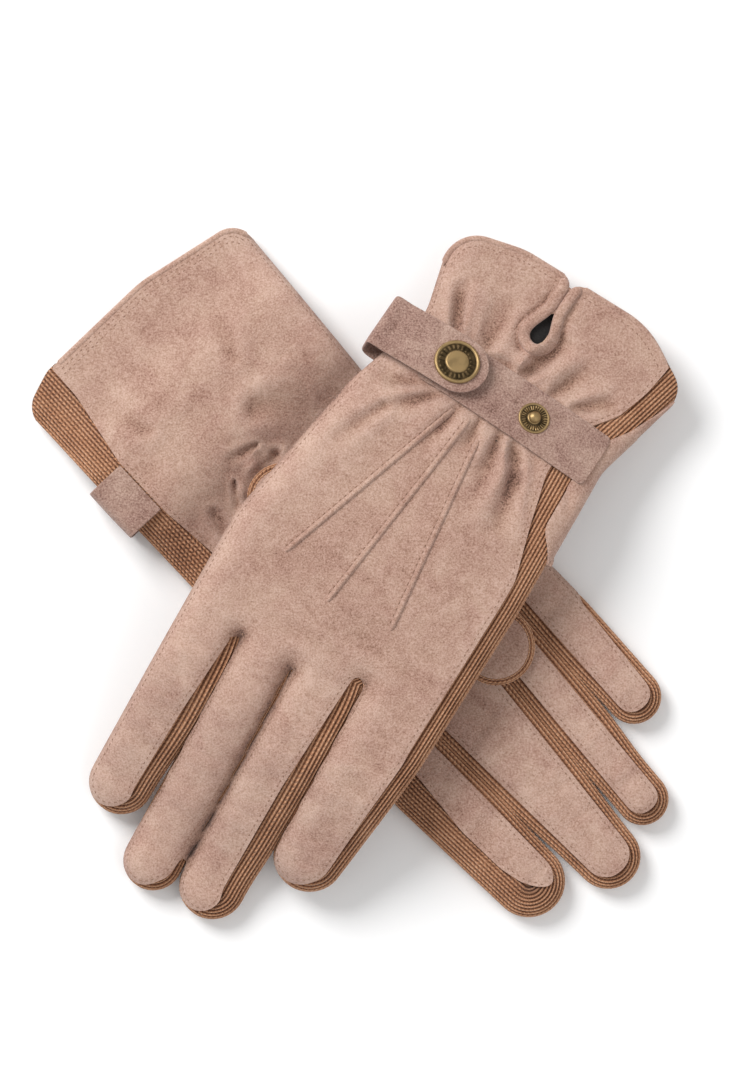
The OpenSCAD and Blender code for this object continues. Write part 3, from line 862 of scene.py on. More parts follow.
def makeThumb(hand):
    outline = Outline(thumbDiscs[hand], 1.0)
    (bx, by, br), (tx, ty, tr) = thumbDiscs[hand]
    margin, step = 17, thumb["step"]
    x, y = np.meshgrid(np.arange(min(bx, tx) - margin, max(bx, tx) + margin, step),
                       np.arange(by - margin, ty + margin, step), indexing="ij")
    depth, _ = outline.fields(x, y)
    # where the thumb would bend, from its root to a quarter of the way to its tip: worked out, but nothing
    # here uses it
    bend = {"start": tuple(toRow(hand, bx, by - 6, thumb["middle"][hand])),
            "end": tuple(toRow(hand, bx + (tx - bx) * 0.25, by + (ty - by) * 0.25, thumb["middle"][hand]))}
    for part, up in (("pad", -backUp[hand]), ("back", backUp[hand])):
        sx, sy, quads, triangles = cutGrid(depth - thumb["inset"][part], x, y, step)
        own, _ = outline.fields(sx, sy)
        creases = 0.35 * softNoise(sx, sy, 9.0, 5) + 0.14 * softNoise(sx / 9, sy / 3.4, 1.0, 6)
        out = rounded(own, thumb["rim"], thumb["half"]) + thumb["out"] + creases * smoothStep(0, 5, own)
        if up < 0:
            quads, triangles = quads[:, ::-1], triangles[:, ::-1]
        piece = makePiece(f"{hand}_thumb_{part}_suede", toRow(hand, sx, sy, thumbMiddle(hand, sy) + up * out),
                          [quads, triangles], [suede, cutSuede])
        thicken(piece, 0.8, 1)
        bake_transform(piece)
        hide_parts(f"{hand}_thumb_{part}")

    def widths(up, points, station, normal):
        return np.full(len(points), thumb["inset"]["back" if up == backUp[hand] else "pad"] + knit["tuck"])

    def height(x, y, h, side):
        return thumbMiddle(hand, y) + h

    piece = wrapStrip(f"{hand}_thumb_gusset_knit", hand, outline, (0, outline.length), widths, thumb,
                      knit["across"], ribsOut, height, knitted)
    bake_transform(piece)
    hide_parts(f"{hand}_thumb_gusset")


# the wrist strap, in its own frame: u across the wrist, v along the glove, w out of its back
strap = {
    "width": 20.0, "thick": 1.0, "wave": 0.12,
    "studBand": {"from": -34.0, "to": 32.0, "w": 1.05, "corner": 1.8},
    "tabLevel": 4.65, "tabEnd": 22.0,                         # w of the tab, and u of its round end
    "wrap": {"side": 51.6, "palm": 38.0, "corner": 2.2},      # where it turns round the index side
    "studs": (-8.5, 23.0), "capAt": 23.0,
    "bendFrom": 44.0,                                         # where the tab starts to bend as it opens
}


def roundedPath(corners, radii, step):
    # straight runs between corners in the (u, w) plane, each corner an arc of its own radius
    corners = np.array(corners, float)
    points = [corners[:1]]
    t = np.linspace(0, 1, 9)[:, None]
    for a, b, c, r in zip(corners, corners[1:], corners[2:], radii):
        p, q = (a - b) / np.linalg.norm(a - b), (c - b) / np.linalg.norm(c - b)
        points.append(b + p * r * (1 - t) ** 2 + q * r * t ** 2)
    points = np.vstack([*points, corners[-1:]])
    run = runAlong(points)
    return placesAt(points, run, np.append(np.arange(0, run[-1], step), run[-1]))


def leatherBand(name, hand, path, halfWidth):
    # a flat band: at each path point a rounded oblong across it, half width by thickness
    d = np.gradient(path, axis=0)
    d /= np.hypot(d[:, 0], d[:, 1])[:, None]
    nu, nw = -d[:, 1], d[:, 0]
    a = np.linspace(0, 2 * math.pi, 56, endpoint=False)
    across = np.sign(np.cos(a)) * np.abs(np.cos(a)) ** 0.45
    out = np.sign(np.sin(a)) * np.abs(np.sin(a)) ** 0.35 * strap["thick"] / 2
    v = halfWidth[:, None] * across
    lift = strap["wave"] * softNoise(path[:, :1], v, 7.0, 41 if hand == "left" else 43)
    n = out * np.minimum(halfWidth[:, None] / 0.8, 1) + lift
    u = path[:, :1] + nu[:, None] * n
    w = path[:, 1:] + nw[:, None] * n
    points, faces = closedRings(strapToRow(hand, u, v, w), 0)
    piece = makePiece(name, points, faces, [strapSuede])
    outward(piece)
    piece.data.set_sharp_from_angle(angle=math.radians(48))
    return piece


def closedRings(points, first):
    # rings of points joined up, each end closed by triangles to a point in its middle
    rows, columns = points.shape[:2]
    points = points.reshape(-1, 3)
    ends = np.stack([points[:columns].mean(0), points[-columns:].mean(0)])
    ring, last = np.arange(columns), (rows - 1) * columns
    after = np.roll(ring, -1)
    start = np.stack([np.full(columns, rows * columns), after, ring], -1)
    stop = np.stack([np.full(columns, rows * columns + 1), ring + last, after + last], -1)
    faces = [gridFaces(rows, columns, closeColumns=True) + first, start + first, stop + first]
    return np.vstack([points, ends]), faces


def outward(piece):
    # turn every face of a closed piece outwards
    work = bmesh.new()
    work.from_mesh(piece.data)
    bmesh.ops.recalc_face_normals(work, faces=work.faces)
    if work.calc_volume(signed=True) < 0:
        bmesh.ops.reverse_faces(work, faces=work.faces)
    work.to_mesh(piece.data)
    work.free()


def makeStraps(hand):
    half, band, level = strap["width"] / 2, strap["studBand"], strap["tabLevel"]
    u = np.arange(band["from"], band["to"] + 0.1, 0.8)
    # the stud strap's corners are rounded a little
    short = np.maximum(band["corner"] - np.minimum(u - band["from"], band["to"] - u), 0)
    drop = band["corner"] - np.sqrt(np.maximum(band["corner"] ** 2 - short ** 2, 0))
    path = np.stack([u, np.full(len(u), band["w"])], -1)
    piece = leatherBand(f"{hand}_stud_strap_suede", hand, path, half - drop)
    belongs(piece, hand + "_glove", "suede", f"{hand}_stud_strap")
    # the tab and the keeper it grows from are one strip: palm side, round the edge, and over the back
    tilt = math.radians(pose["strapTilt"][hand])
    below = -pose["depth"] * math.cos(tilt) - 0.65 + float(strapArch(hand, 60))
    wrap, tip = strap["wrap"], strap["tabEnd"] - half
    path = roundedPath([(wrap["palm"], below), (wrap["side"], below), (wrap["side"], level), (tip, level)],
                       (wrap["corner"] * 1.6, wrap["corner"]), 0.6)
    # its last 4 mm have rows closer together, which its round end needs
    path = path[(path[:, 0] > tip + 4) | (path[:, 1] < 0)]
    fine = np.linspace(0, 1, 14)[1:] ** 2
    tail = np.stack([tip + 4 - 3.98 * (1 - (1 - fine) ** 2) ** 0.5, np.full(13, level)], -1)
    path = np.vstack([path, tail])
    into = np.where(path[:, 1] > 4, np.clip(strap["tabEnd"] - path[:, 0], 0, half), 0)
    width = np.sqrt(np.maximum(half ** 2 - into ** 2, 0.0004))
    piece = leatherBand(f"{hand}_tab_strap_suede", hand, path, width)
    start = strapToRow(hand, strap["bendFrom"], 0, level)
    stop = strapToRow(hand, strap["bendFrom"] - 4.8, 0, level + 2.4)
    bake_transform(piece)
    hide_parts(f"{hand}_snap_tab", f"{hand}_strap_anchor")


# snaps are turned: each a profile of (radius, height) spun round, with a raised pattern on its ring and the
# radii between which patina stays
cap = {
    "node": "snap_cap", "base": 5.15,
    "profile": [(0, 1.1), (2.6, 1.1), (3.5, 1.08), (3.75, 1.0), (3.95, 0.8), (6.4, 0.74), (6.7, 1.0),
                (7.0, 1.14), (7.35, 1.05), (7.6, 0.75), (7.65, 0.3), (7.4, 0.0), (0.0, 0.0)],
    "ring": (4.3, 6.2), "raise": 0.3, "count": 22, "dark": (3.8, 6.6),
}
stud = {
    "node": "snap_studs", "base": 1.55,
    "profile": [(0, 2.8), (0.6, 2.75), (1.2, 2.5), (1.7, 2.1), (2.0, 1.6), (2.0, 1.2), (1.9, 0.7),
                (2.4, 0.4), (3.0, 0.25), (4.2, 0.25), (4.6, 0.5), (5.0, 0.6), (5.3, 0.4), (5.35, 0.1),
                (5.2, 0.0), (0.0, 0.0)],
    "ring": (2.6, 4.6), "raise": 0.3, "count": 30, "dark": (2.0, 4.7),
}


def turnedPart(spec, steps=132):
    # the profile smoothed and spun: height gains a bar pattern between the ring's two radii
    p = np.array(spec["profile"], float)
    run = runAlong(p)
    at = np.unique(np.concatenate([np.arange(0.05, run[-1] - 0.05, 0.22), run[1:-1]]))
    r, z = placesAt(p, run, at).T[..., None]
    r = np.maximum(r, 0.02)
    a = np.linspace(0, 2 * math.pi, steps, endpoint=False)[None, :]
    bar = smoothStep(-0.15, 0.35, np.cos(a * spec["count"]) * (0.75 + 0.5 * np.cos(a * 5 + 1)))
    low, high = spec["ring"]
    onRing = smoothStep(low, low + 0.3, r) * (1 - smoothStep(high - 0.3, high, r)) * (z > 0.2)
    return r * np.cos(a), r * np.sin(a), z + spec["raise"] * bar * onRing


def makeTurned(hand, spec, places, body):
    points, faces, count, patina = [], [], 0, []
    low, high = spec["dark"]
    for u in places:
        x, y, z = turnedPart(spec)
        r = np.hypot(x, y)
        dark = smoothStep(low, low + 0.25, r) * (1 - smoothStep(high - 0.25, high, r)) * (z > 0.25)
        patina += [dark.ravel(), np.zeros(2)]
        more, rings = closedRings(strapToRow(hand, u + x, y, spec["base"] + z), count)
        points.append(more)
        faces += rings
        count += len(more)
    piece = makePiece(f"{hand}_{spec['node']}_ring", np.vstack(points), faces, [brass],
                      values={"patina": np.concatenate(patina)})
    outward(piece)
    piece.data.set_sharp_from_angle(angle=math.radians(60))
    belongs(piece, body, "brass", f"{hand}_{spec['node']}")


def makeSnaps(hand):
    makeTurned(hand, cap, [strap["capAt"]], hand + "_tab")
    makeTurned(hand, stud, strap["studs"], hand + "_glove")
    for name in (f"{hand}_snap_socket", f"{hand}_stud_posts"):
        node = frame["nodes"][name]
        node.data.materials.clear()
        node.data.materials.append(brass)


thread = {"length": 1.2, "width": 0.34, "pitch": 2.1}


def stitches(name, hand, rows, *nodes, length=thread["length"], pitch=thread["pitch"]):
    # each stitch is a small grain: 6 round by 5 along, laid on its row at even steps
    places = []
    for points, normal in rows:
        run = runAlong(points)
        at = np.arange(pitch / 2, run[-1] * 1000, pitch) / 1000
        if len(at) == 0:
            continue
        behind, here, ahead = (placesAt(points, run, at + o) for o in (-0.0008, 0, 0.0008))
        d = ahead - behind
        d /= np.maximum(np.linalg.norm(d, axis=1)[:, None], 1e-9)
        n = np.broadcast_to(np.asarray(normal, float), d.shape)
        n = n - (n * d).sum(1)[:, None] * d
        n /= np.linalg.norm(n, axis=1)[:, None]
        places.append((here, d, n))
    c, d, n = (np.vstack(v)[:, None, None, :] for v in zip(*places))
    b = np.cross(n, d)
    t = np.linspace(-1, 1, 5)[:, None]
    fat = np.sqrt(np.maximum(1 - t ** 4, 0.05)) * thread["width"] / 2
    a = np.linspace(0, 2 * math.pi, 6, endpoint=False)[None, :]
    lengthways, sideways = t * length / 2 + 0 * a, fat * np.cos(a)
    upwards = 0.8 * fat * np.sin(a) - 0.25 * t ** 2 * thread["width"]
    points = c + (d * lengthways[..., None] + b * sideways[..., None] + n * upwards[..., None]) / 1000
    ends = np.array([[0, 1, 2, 3, 4, 5], [29, 28, 27, 26, 25, 24]])
    shift = (np.arange(len(c)) * 30)[:, None, None]
    sides = (gridFaces(5, 6, closeColumns=True) + shift).reshape(-1, 4)[:, ::-1]
    piece = makePiece(name, points, [sides, (ends + shift).reshape(-1, 6)], [suedeThread])
    belongs(piece, hand + "_glove", "thread", *nodes)


def edgeRow(hand, up, low, high, inside):
    # a row of stitching on the panel, a little inside its edge, between two stations
    outline = gloves[hand]["outline"]
    along = np.arange(*outline.distanceOf(np.array([low, high], float)), 1.2)
    point, normal = outline.at(along)
    p = point + normal * (insetAt(hand, up, outline.stationOf(along)) + inside)[:, None]
    if up in band[hand]:
        gap = bandGap(hand, up, p[:, 0], p[:, 1])
        shift = np.where(np.abs(gap) < 24, np.maximum(inside - gap, 0), 0)
        p[:, 0] += shift * (1 if hand == "left" else -1)
    keep = sample(gloves[hand]["keep"][up], p[:, 0], p[:, 1])
    return splitRows(hand, up, p, keep > inside * 0.72)


def splitRows(hand, up, p, good):
    # rows broken where the panel isn't there, each as row points in metres with the way out of the glove
    rows = []
    for a, b in runsOf(good):
        if b - a > 3:
            x, y = p[a:b, 0], p[a:b, 1]
            z = gloveHeight(hand, up, x, y, glove["suede"] / 2)
            rows.append((toRow(hand, x, y, z), (0, 0, up)))
    return rows


# stitching: how far in from the cuff its rows lie, and from the panels' other edges
hem = {"cuff": {"left": (3.2,), "right": (2.6, 4.4)}, "edge": 1.5}
mouth = np.array([-0.2, 3.3])   # the stations between which the cuff runs


def cuffRows(hand, up, inside):
    outline = gloves[hand]["cuffOutline"]
    along = np.arange(*outline.distanceOf(mouth), 1.2)
    point, normal = outline.at(along)
    p = point + normal * inside
    keep = sample(gloves[hand]["keep"][up], p[:, 0], p[:, 1])
    return splitRows(hand, up, p, keep > 1.6)


# the stations that each row along the fingers runs between
seams = {"left": (3.4, 8, 10, 12, 16.6), "right": (3.4, 6, 8, 10, 13.6)}


def makeStitching(hand):
    for up in (1, -1):
        rows = []
        for low, high in zip(seams[hand], seams[hand][1:]):
            rows += edgeRow(hand, up, low, high, hem["edge"])
        for inside in hem["cuff"][hand]:
            rows += cuffRows(hand, up, inside)
        side = {1: "top", -1: "under"}[up]
        stitches(f"{hand}_{side}_seam_thread", hand, rows)


# the three stitched points on the back of each glove
points = {
    "lines": {
        "left": [((15, 49.6), (35.7, 120.7)), ((9, 49.6), (14.9, 126.8)), ((3.1, 53.7), (-8, 123.2))],
        "right": [((15, 53), (35.7, 120)), ((9, 53), (15, 126)), ((3, 54), (-8, 123))],
    },
    "height": {"left": 1.15, "right": 0.2},   # the right one is pressed flat on the table
    "width": 2.0, "sunk": 0.25, "stitch": 1.25,
}


def makePoints(hand):
    # each point is a pinched tuck: a half round ridge along its line, low at both ends, thread on one side
    up = backUp[hand]
    rows, verts, faces, count = [], [], [], 0
    a = np.linspace(0, math.pi, 9)[None, :]
    for start, end in np.array(points["lines"][hand], float):
        length = float(np.hypot(*(end - start)))
        t = np.linspace(0, 1, int(length / 0.9))
        along = (end - start) / length
        sideways = np.array([-along[1], along[0]])
        line = start + (end - start) * t[:, None]
        grow = np.sqrt(np.clip(np.minimum(t, 1 - t) * length / 3, 0, 1))
        pinch = 1 + 0.12 * np.sin(t * length / 2.9 * 2 * math.pi)
        across = np.cos(a) * (points["width"] / 2 * (0.4 + 0.6 * grow))[:, None]
        rise = np.sin(a) * (points["height"][hand] * grow * pinch)[:, None] - points["sunk"]
        x = line[:, :1] + sideways[0] * across
        y = line[:, 1:] + sideways[1] * across
        verts.append(toRow(hand, x, y, gloveHeight(hand, up, x, y, glove["suede"] / 2 + rise)).reshape(-1, 3))
        faces += rollFaces(*x.shape, count)
        count += x.size
        p = line[2:-2] - sideways * points["stitch"]
        rows += splitRows(hand, up, p, np.ones(len(p), bool))
    piece = makePiece(f"{hand}_back_points_suede", np.vstack(verts), faces, [suede])
    outward(piece)
    belongs(piece, hand + "_glove", "suede")
    stitches(f"{hand}_back_points_thread", hand, rows, f"{hand}_back_points", length=1.5, pitch=2.3)


rolledHem = {"radius": 0.85, "in": 0.7, "sink": 0.55}


def makeRolledHem(hand):
    # the turned hem at the mouth: a soft roll along the cuff's edge, above and below, flattened to an oval
    outline = gloves[hand]["cuffOutline"]
    verts, faces, count = [], [], 0
    along = np.arange(*outline.distanceOf(mouth), 0.8)
    point, normal = outline.at(along)
    inner = point + normal * 2.2
    a = np.linspace(0, 2 * math.pi, 12, endpoint=False)[None, :]
    for up in (1, -1):
        good = sample(gloves[hand]["keep"][up], inner[:, 0], inner[:, 1]) > 1.2
        for low, high in runsOf(good):
            if high - low < 6:
                continue
            p, n = point[low:high], normal[low:high]
            ends = np.clip(np.minimum(np.arange(len(p)), np.arange(len(p))[::-1]) / 2, 0.15, 1)[:, None]
            radius = rolledHem["radius"] * ends
            inwards = rolledHem["in"] + radius * 1.25 * np.cos(a)
            x, y = p[:, :1] + n[:, :1] * inwards, p[:, 1:] + n[:, 1:] * inwards
            # its height is that of the leather 1.6 mm in
            xc, yc = (p + n * 1.6).T[..., None] + 0 * a
            z = gloveHeight(hand, up, xc, yc, glove["suede"] / 2 - rolledHem["sink"] + radius * np.sin(a))
            verts.append(toRow(hand, x, y, z).reshape(-1, 3))
            faces += rollFaces(*x.shape, count)
            count += x.size
    piece = makePiece(f"{hand}_cuff_hem_suede", np.vstack(verts), faces, [suede])
    outward(piece)
    belongs(piece, hand + "_glove", "suede")


# the rolled strip round the vent: inside is how far its middle lies from the cut edge
binding = {"width": 4.2, "height": {"left": 2.6, "right": 1.6}, "inside": 2.0}


def makeBinding(hand):
    # a flattened round swept up one side of the keyhole, round its end and down the other side
    up, half, slit = backUp[hand], binding["width"] / 2, vent["slit"]
    bend = vent["corner"] - binding["inside"]
    cornerY = vent["edge"][hand] + vent["corner"]
    y = np.linspace(cornerY + 0.3, vent["round"], 26)
    side = slit + (vent["radius"] - slit) * smoothStep(vent["start"], vent["round"], y) + binding["inside"]
    a = np.linspace(-math.pi / 2, -math.pi, 9)
    side = np.concatenate([slit + vent["corner"] + bend * np.cos(a), side])
    y = np.concatenate([cornerY + bend * np.sin(a), y])
    a = np.linspace(0, math.pi, 22)[1:-1]
    r = side[-1]
    x = vent["x"] + np.concatenate([side, r * np.cos(a), -side[::-1]])
    line = np.stack([x, np.concatenate([y, vent["round"] + r * np.sin(a), y[::-1]])], -1)
    run = runAlong(line)
    at = np.arange(0, run[-1], 0.6)
    line = placesAt(line, run, at)
    d = np.gradient(line, axis=0)
    d /= np.hypot(d[:, 0], d[:, 1])[:, None]
    n = np.stack([-d[:, 1], d[:, 0]], -1)
    # the roll is fuller on the side by the opening
    a = np.linspace(0, 2 * math.pi, 20, endpoint=False)
    ends = np.clip(np.minimum(at, at[-1] - at) / 1.5, 0.05, 1)[:, None] ** 0.5
    across = half * np.cos(a) * (0.92 + 0.08 * np.cos(a)) * ends
    out = binding["height"][hand] / 2 * np.sign(np.sin(a)) * np.abs(np.sin(a)) ** 0.8 * ends
    x = line[:, :1] + n[:, :1] * across
    y = line[:, 1:] + n[:, 1:] * across
    wave = 0.12 * np.sin(at / 3.1 * 2 * math.pi)[:, None]
    z = gloveHeight(hand, up, x, y, 0.35 + out + wave)
    piece = makePiece(f"{hand}_vent_binding_suede", toRow(hand, x, y, z), rollFaces(*x.shape, 0), [suede])
    outward(piece)
    belongs(piece, hand + "_glove", "suede", f"{hand}_vent_binding")
    row = (line - n * (half + 0.9))[3:-3]
    return splitRows(hand, up, row, np.ones(len(row), bool))


# the lining: how far in from the suede it hangs, where it runs from and to, and how far in its sides lie
lining = {"gap": 1.2, "from": 1.0, "to": 150.0, "side": 6.5, "under": 1.6}


def makeLining(hand):
    # a sleeve: at each y an ellipse-like ring between the two sides, closed at its far end
    here = gloves[hand]
    ys = np.concatenate([np.arange(lining["from"], 66, 1.5), np.arange(66, lining["to"] - 22, 4.0)])
    inside = []
    for y in ys:
        column = sample(here["cuff"], gridX, np.full(len(gridX), y)) > lining["side"]
        inside.append((gridX[column].min(), gridX[column].max()) if column.any() else (np.nan, np.nan))
    inside = np.array(inside)
    good = ~np.isnan(inside[:, 0]) & (inside[:, 1] - inside[:, 0] > 20)
    ys, inside = ys[good], inside[good]
    a = np.linspace(0, 2 * math.pi, 72, endpoint=False)[None, :]
    centre, half = inside.mean(1)[:, None], (inside[:, 1:] - inside[:, :1]) / 2
    x = centre + half * np.sign(np.cos(a)) * np.abs(np.cos(a)) ** 0.8
    y = np.broadcast_to(ys[:, None], x.shape)
    up = np.where(np.sin(a) >= 0, 1.0, -1.0) + 0 * x
    round_ = rounded(sample(here["depth"], x, y), glove["rim"], glove["half"])
    bump = np.where(up > 0, sample(here["detail"][1], x, y), sample(here["detail"][-1], x, y))
    closing = np.sqrt(np.clip((ys[-1] - ys) / 6, 0, 1))[:, None]
    fade = np.abs(np.sin(a)) ** 0.25 * closing
    own = np.maximum(round_ - lining["gap"] + bump, 0.2) * fade
    z = middleHeight(hand, y) + up * np.minimum(own, round_ * swell(hand, up, y) + bump - lining["under"])
    rows, columns = x.shape
    end = np.arange(columns)[None] + (rows - 1) * columns
    piece = makePiece(f"{hand}_lining_bag", toRow(hand, x, y, z),
                      [gridFaces(rows, columns, closeColumns=True, flip=True), end], [liningCloth])
    thicken(piece, 0.4)
    wide, length = 2 * (inside[:, 1] - inside[:, 0]) / 1000, float(ys[-1] - ys[0]) / 1000
    width, area = float(wide.max()), float(wide.mean()) * length
    belongs(piece, hand + "_glove", "lining", f"{hand}_lining")
    min(area, width * length)


elastic = {"y": (44.0, 50.0), "x": (-18.0, 24.0), "under": 0.85}


def makeElastic(hand):
    # a narrow band sewn inside the back: a grid under the suede, rippled where it gathers the leather
    up = backUp[hand]
    x, y = np.meshgrid(np.arange(*elastic["x"], 0.7), np.linspace(*elastic["y"], 7), indexing="ij")
    ripple = 0.12 * np.sin(x / 2.2 * 2 * math.pi)
    z = gloveHeight(hand, up, x, y, ripple - elastic["under"])
    piece = makePiece(f"{hand}_wrist_elastic_band", toRow(hand, x, y, z),
                      [gridFaces(*x.shape, flip=(up < 0))], [liningCloth])
    thicken(piece, 0.2)
    belongs(piece, hand + "_glove", "elastic", f"{hand}_wrist_elastic")


# the palm's suede turns up over the little side of the left wrist: grow is its share of the width by y
turnUp = {"from": 2.0, "to": 76.0, "width": 6.2, "grow": ((6, 14, 24, 34, 45), (0, 0.08, 0.36, 0.9, 1))}


def makeTurnUp():
    hand = "left"
    outline = gloves[hand]["outline"]
    along = np.linspace(*outline.distanceOf(np.array([14.0, 16.7])), 400)
    point, _ = outline.at(along)
    inRange = (point[:, 1] > turnUp["from"] - 6) & (point[:, 1] < turnUp["to"])
    low, high = along[inRange].min(), along[inRange].max()

    def widths(up, points, station, normal):
        taper = smoothStep(0, 12, turnUp["to"] - points[:, 1]) * np.interp(points[:, 1], *turnUp["grow"])
        return 0.3 + turnUp["width"] * taper if up > 0 else np.full(len(points), 6.0)

    def outOf(run, inside):
        # a little proud of the knit, and down to it at the edge
        return 0.28 * smoothStep(0, 0.9, inside) + 0 * run, 0 * inside

    piece = wrapStrip("left_palm_turn_up_suede", hand, outline, (low, high), widths, glove, 0.6, outOf,
                      gloveStripHeight(hand), suede, cuffKeep(hand, 0))
    thicken(piece, 0.8)
    belongs(piece, "left_glove", "suede")


def hexColour(text):
    # sRGB hex to linear
    c = [int(text[k:k + 2], 16) / 255 for k in (1, 3, 5)]
    return tuple(v / 12.92 if v <= 0.04045 else ((v + 0.055) / 1.055) ** 2.4 for v in c) + (1.0,)


def addNode(tree, kind, values=None, links=None, **settings):
    # one node with its settings, its sockets' values and what is linked to them
    node = tree.nodes.new("ShaderNode" + kind)
    for key, value in settings.items():
        setattr(node, key, value)
    for key, value in (values or {}).items():
        node.inputs[key].default_value = value
    for key, source in (links or {}).items():
        tree.links.new(source, node.inputs[key])
    return node


def startMaterial(name, **shaderValues):
    material = bpy.data.materials.new(name)
    material.use_nodes = True
    tree = material.node_tree
    shader = tree.nodes["Principled BSDF"]
    for key, value in shaderValues.items():
        shader.inputs[key.replace("_", " ")].default_value = value
    return material, tree, shader


def mottles(tree, *each, shift=(0, 0, 0)):
    # noise patterns on the piece's own place, each of a scale per metre, a detail, a roughness and a bend
    place = addNode(tree, "TexCoord").outputs["Object"]
    if any(shift):
        place = addNode(tree, "Mapping", {"Location": shift}, {"Vector": place}).outputs[0]
    sockets = ("Scale", "Detail", "Roughness", "Distortion")
    return [addNode(tree, "TexNoise", dict(zip(sockets, values)), {"Vector": place}).outputs[0]
            for values in each]


def weighed(tree, *parts):
    # several patterns added up, each times its share
    total = None
    for source, share in parts:
        links = {0: source} if total is None else {0: source, 2: total}
        total = addNode(tree, "Math", {1: share}, links,
                        operation="MULTIPLY" if total is None else "MULTIPLY_ADD").outputs[0]
    return total


def dress(tree, shader, value, stops, height=None, strength=1.0, relief=0.0):
    # colour from a ramp over one pattern, and relief in mm from another
    ramp = addNode(tree, "ValToRGB", links={"Fac": value})
    elements = ramp.color_ramp.elements
    while len(elements) < len(stops):
        elements.new(0.5)
    for element, (place, colour) in zip(elements, stops):
        element.position, element.color = place, hexColour(colour)
    tree.links.new(ramp.outputs[0], shader.inputs["Base Color"])
    if height is not None:
        bump = addNode(tree, "Bump", {"Strength": strength, "Distance": relief / 1000}, {"Height": height})
        tree.links.new(bump.outputs[0], shader.inputs["Normal"])
    return ramp.outputs[0]


def makeSuede(name, deep, dark, middle, pale, grit, seed):
    # split leather with a brushed nap: no gloss, a soft pale sheen at the edges, cloudy where the nap lies
    # different ways (8 to 20 mm), and a grain of about 0.8 mm with finer fibres in it
    material, tree, shader = startMaterial(name, Roughness=0.95, Sheen_Weight=0.25, Sheen_Roughness=0.6,
                                           Specular_IOR_Level=0.15)
    cloud, nap, grain, fibre = mottles(tree, (75.0, 4.0, 0.6, 0.5), (330.0, 3.0, 0.6), (1700.0, 2.0, 0.6),
                                       (5200.0, 2.0), shift=(seed * 0.37, seed * 0.11, seed * 0.05))
    # painted shade in a crease and painted highlight on a ridge: a value painted on the mesh from its shape
    # darkens the colour in a valley and lightens it on a ridge
    painted_crease_shade = addNode(tree, "Attribute", attribute_name="painted_crease_shade").outputs["Fac"]
    tone = weighed(tree, (cloud, 0.3), (nap, 0.14), (grain, 0.56), (painted_crease_shade, -0.11))
    rough = weighed(tree, (grain, 1.0), (fibre, 0.6), (nap, 0.7))
    colour = dress(tree, shader, tone, [(0.28, deep), (0.375, dark), (0.5, middle), (0.64, pale)],
                   rough, 1.0, grit)
    # patches turn a little pinker or yellower
    turn = addNode(tree, "MapRange", {"From Min": 0.35, "From Max": 0.65, "To Min": 0.495, "To Max": 0.503},
                   {"Value": cloud}).outputs[0]
    tinted = addNode(tree, "HueSaturation", links={"Hue": turn, "Color": colour})
    tree.links.new(tinted.outputs[0], shader.inputs["Base Color"])
    return material


def makeCutSuede():
    # the raw cut edge of the leather: paler, fibrous, no nap
    material, tree, shader = startMaterial("raw cut edge of suede", Roughness=1.0, Specular_IOR_Level=0.1)
    fibre, = mottles(tree, (2200.0, 3.0))
    dress(tree, shader, fibre, [(0.35, "#a8856f"), (0.65, "#c9aa96")], fibre, 0.8, 0.2)
    return material


def makeKnit():
    # wool and nylon rib knit: matt, fuzzy at its edges; the ribs are in the mesh, and the v stitches are
    # here; its colour has painted shade in each rib's trough and painted highlight on its crest
    material, tree, shader = startMaterial("rib knit wool", Roughness=0.9, Sheen_Weight=0.3,
                                           Sheen_Roughness=0.5, Specular_IOR_Level=0.2)
    rib = addNode(tree, "Attribute", attribute_name="rib").outputs["Fac"]
    uv = addNode(tree, "SeparateXYZ", links={"Vector": addNode(tree, "UVMap", uv_map="weave").outputs[0]})
    # v stitches: a wave along the rib, delayed by the distance from the rib's middle (the map is in cm)
    column = weighed(tree, (uv.outputs["Y"], 10 / knit["pitch"]))
    column = addNode(tree, "Math", {1: 1.0}, {0: column}, operation="PINGPONG").outputs[0]
    phase = weighed(tree, (weighed(tree, (uv.outputs["X"], 10 / knit["stitch"]), (column, 0.8)), 2 * math.pi))
    stitch = addNode(tree, "Math", links={0: phase}, operation="SINE").outputs[0]
    fuzz, patch = mottles(tree, (2600.0, 3.0, 0.7), (110.0, 2.0))
    # the rib value paints shade into the troughs and highlight onto the crests
    tone = weighed(tree, (rib, 0.27), (stitch, 0.05), (fuzz, 0.9), (patch, 0.35))
    dress(tree, shader, tone, [(0.34, "#5c3520"), (0.54, "#8f6246"), (0.75, "#b3805f"), (0.98, "#d0a482")],
          weighed(tree, (stitch, 1.0), (fuzz, 0.5)), 0.8, 0.18)
    return material


def makeLiningCloth():
    # black tricot: a fine matt cloth, its weave too fine to see, so it is drawn at 0.6 mm
    material, tree, shader = startMaterial("black tricot lining", Roughness=0.85, Sheen_Weight=0.1)
    weave, = mottles(tree, (1700.0, 2.0))
    dress(tree, shader, weave, [(0.3, "#0c0b0b"), (0.7, "#262221")], weave, 0.4, 0.1)
    return material


def makeThread():
    # bonded polyester thread, a shade darker than the suede, twisted every 0.5 mm
    material, tree, shader = startMaterial("polyester sewing thread", Roughness=0.6, Specular_IOR_Level=0.3)
    twist, = mottles(tree, (2000.0, 1.0))
    dress(tree, shader, twist, [(0.3, "#7d5e4d"), (0.7, "#a17e6a")])
    return material


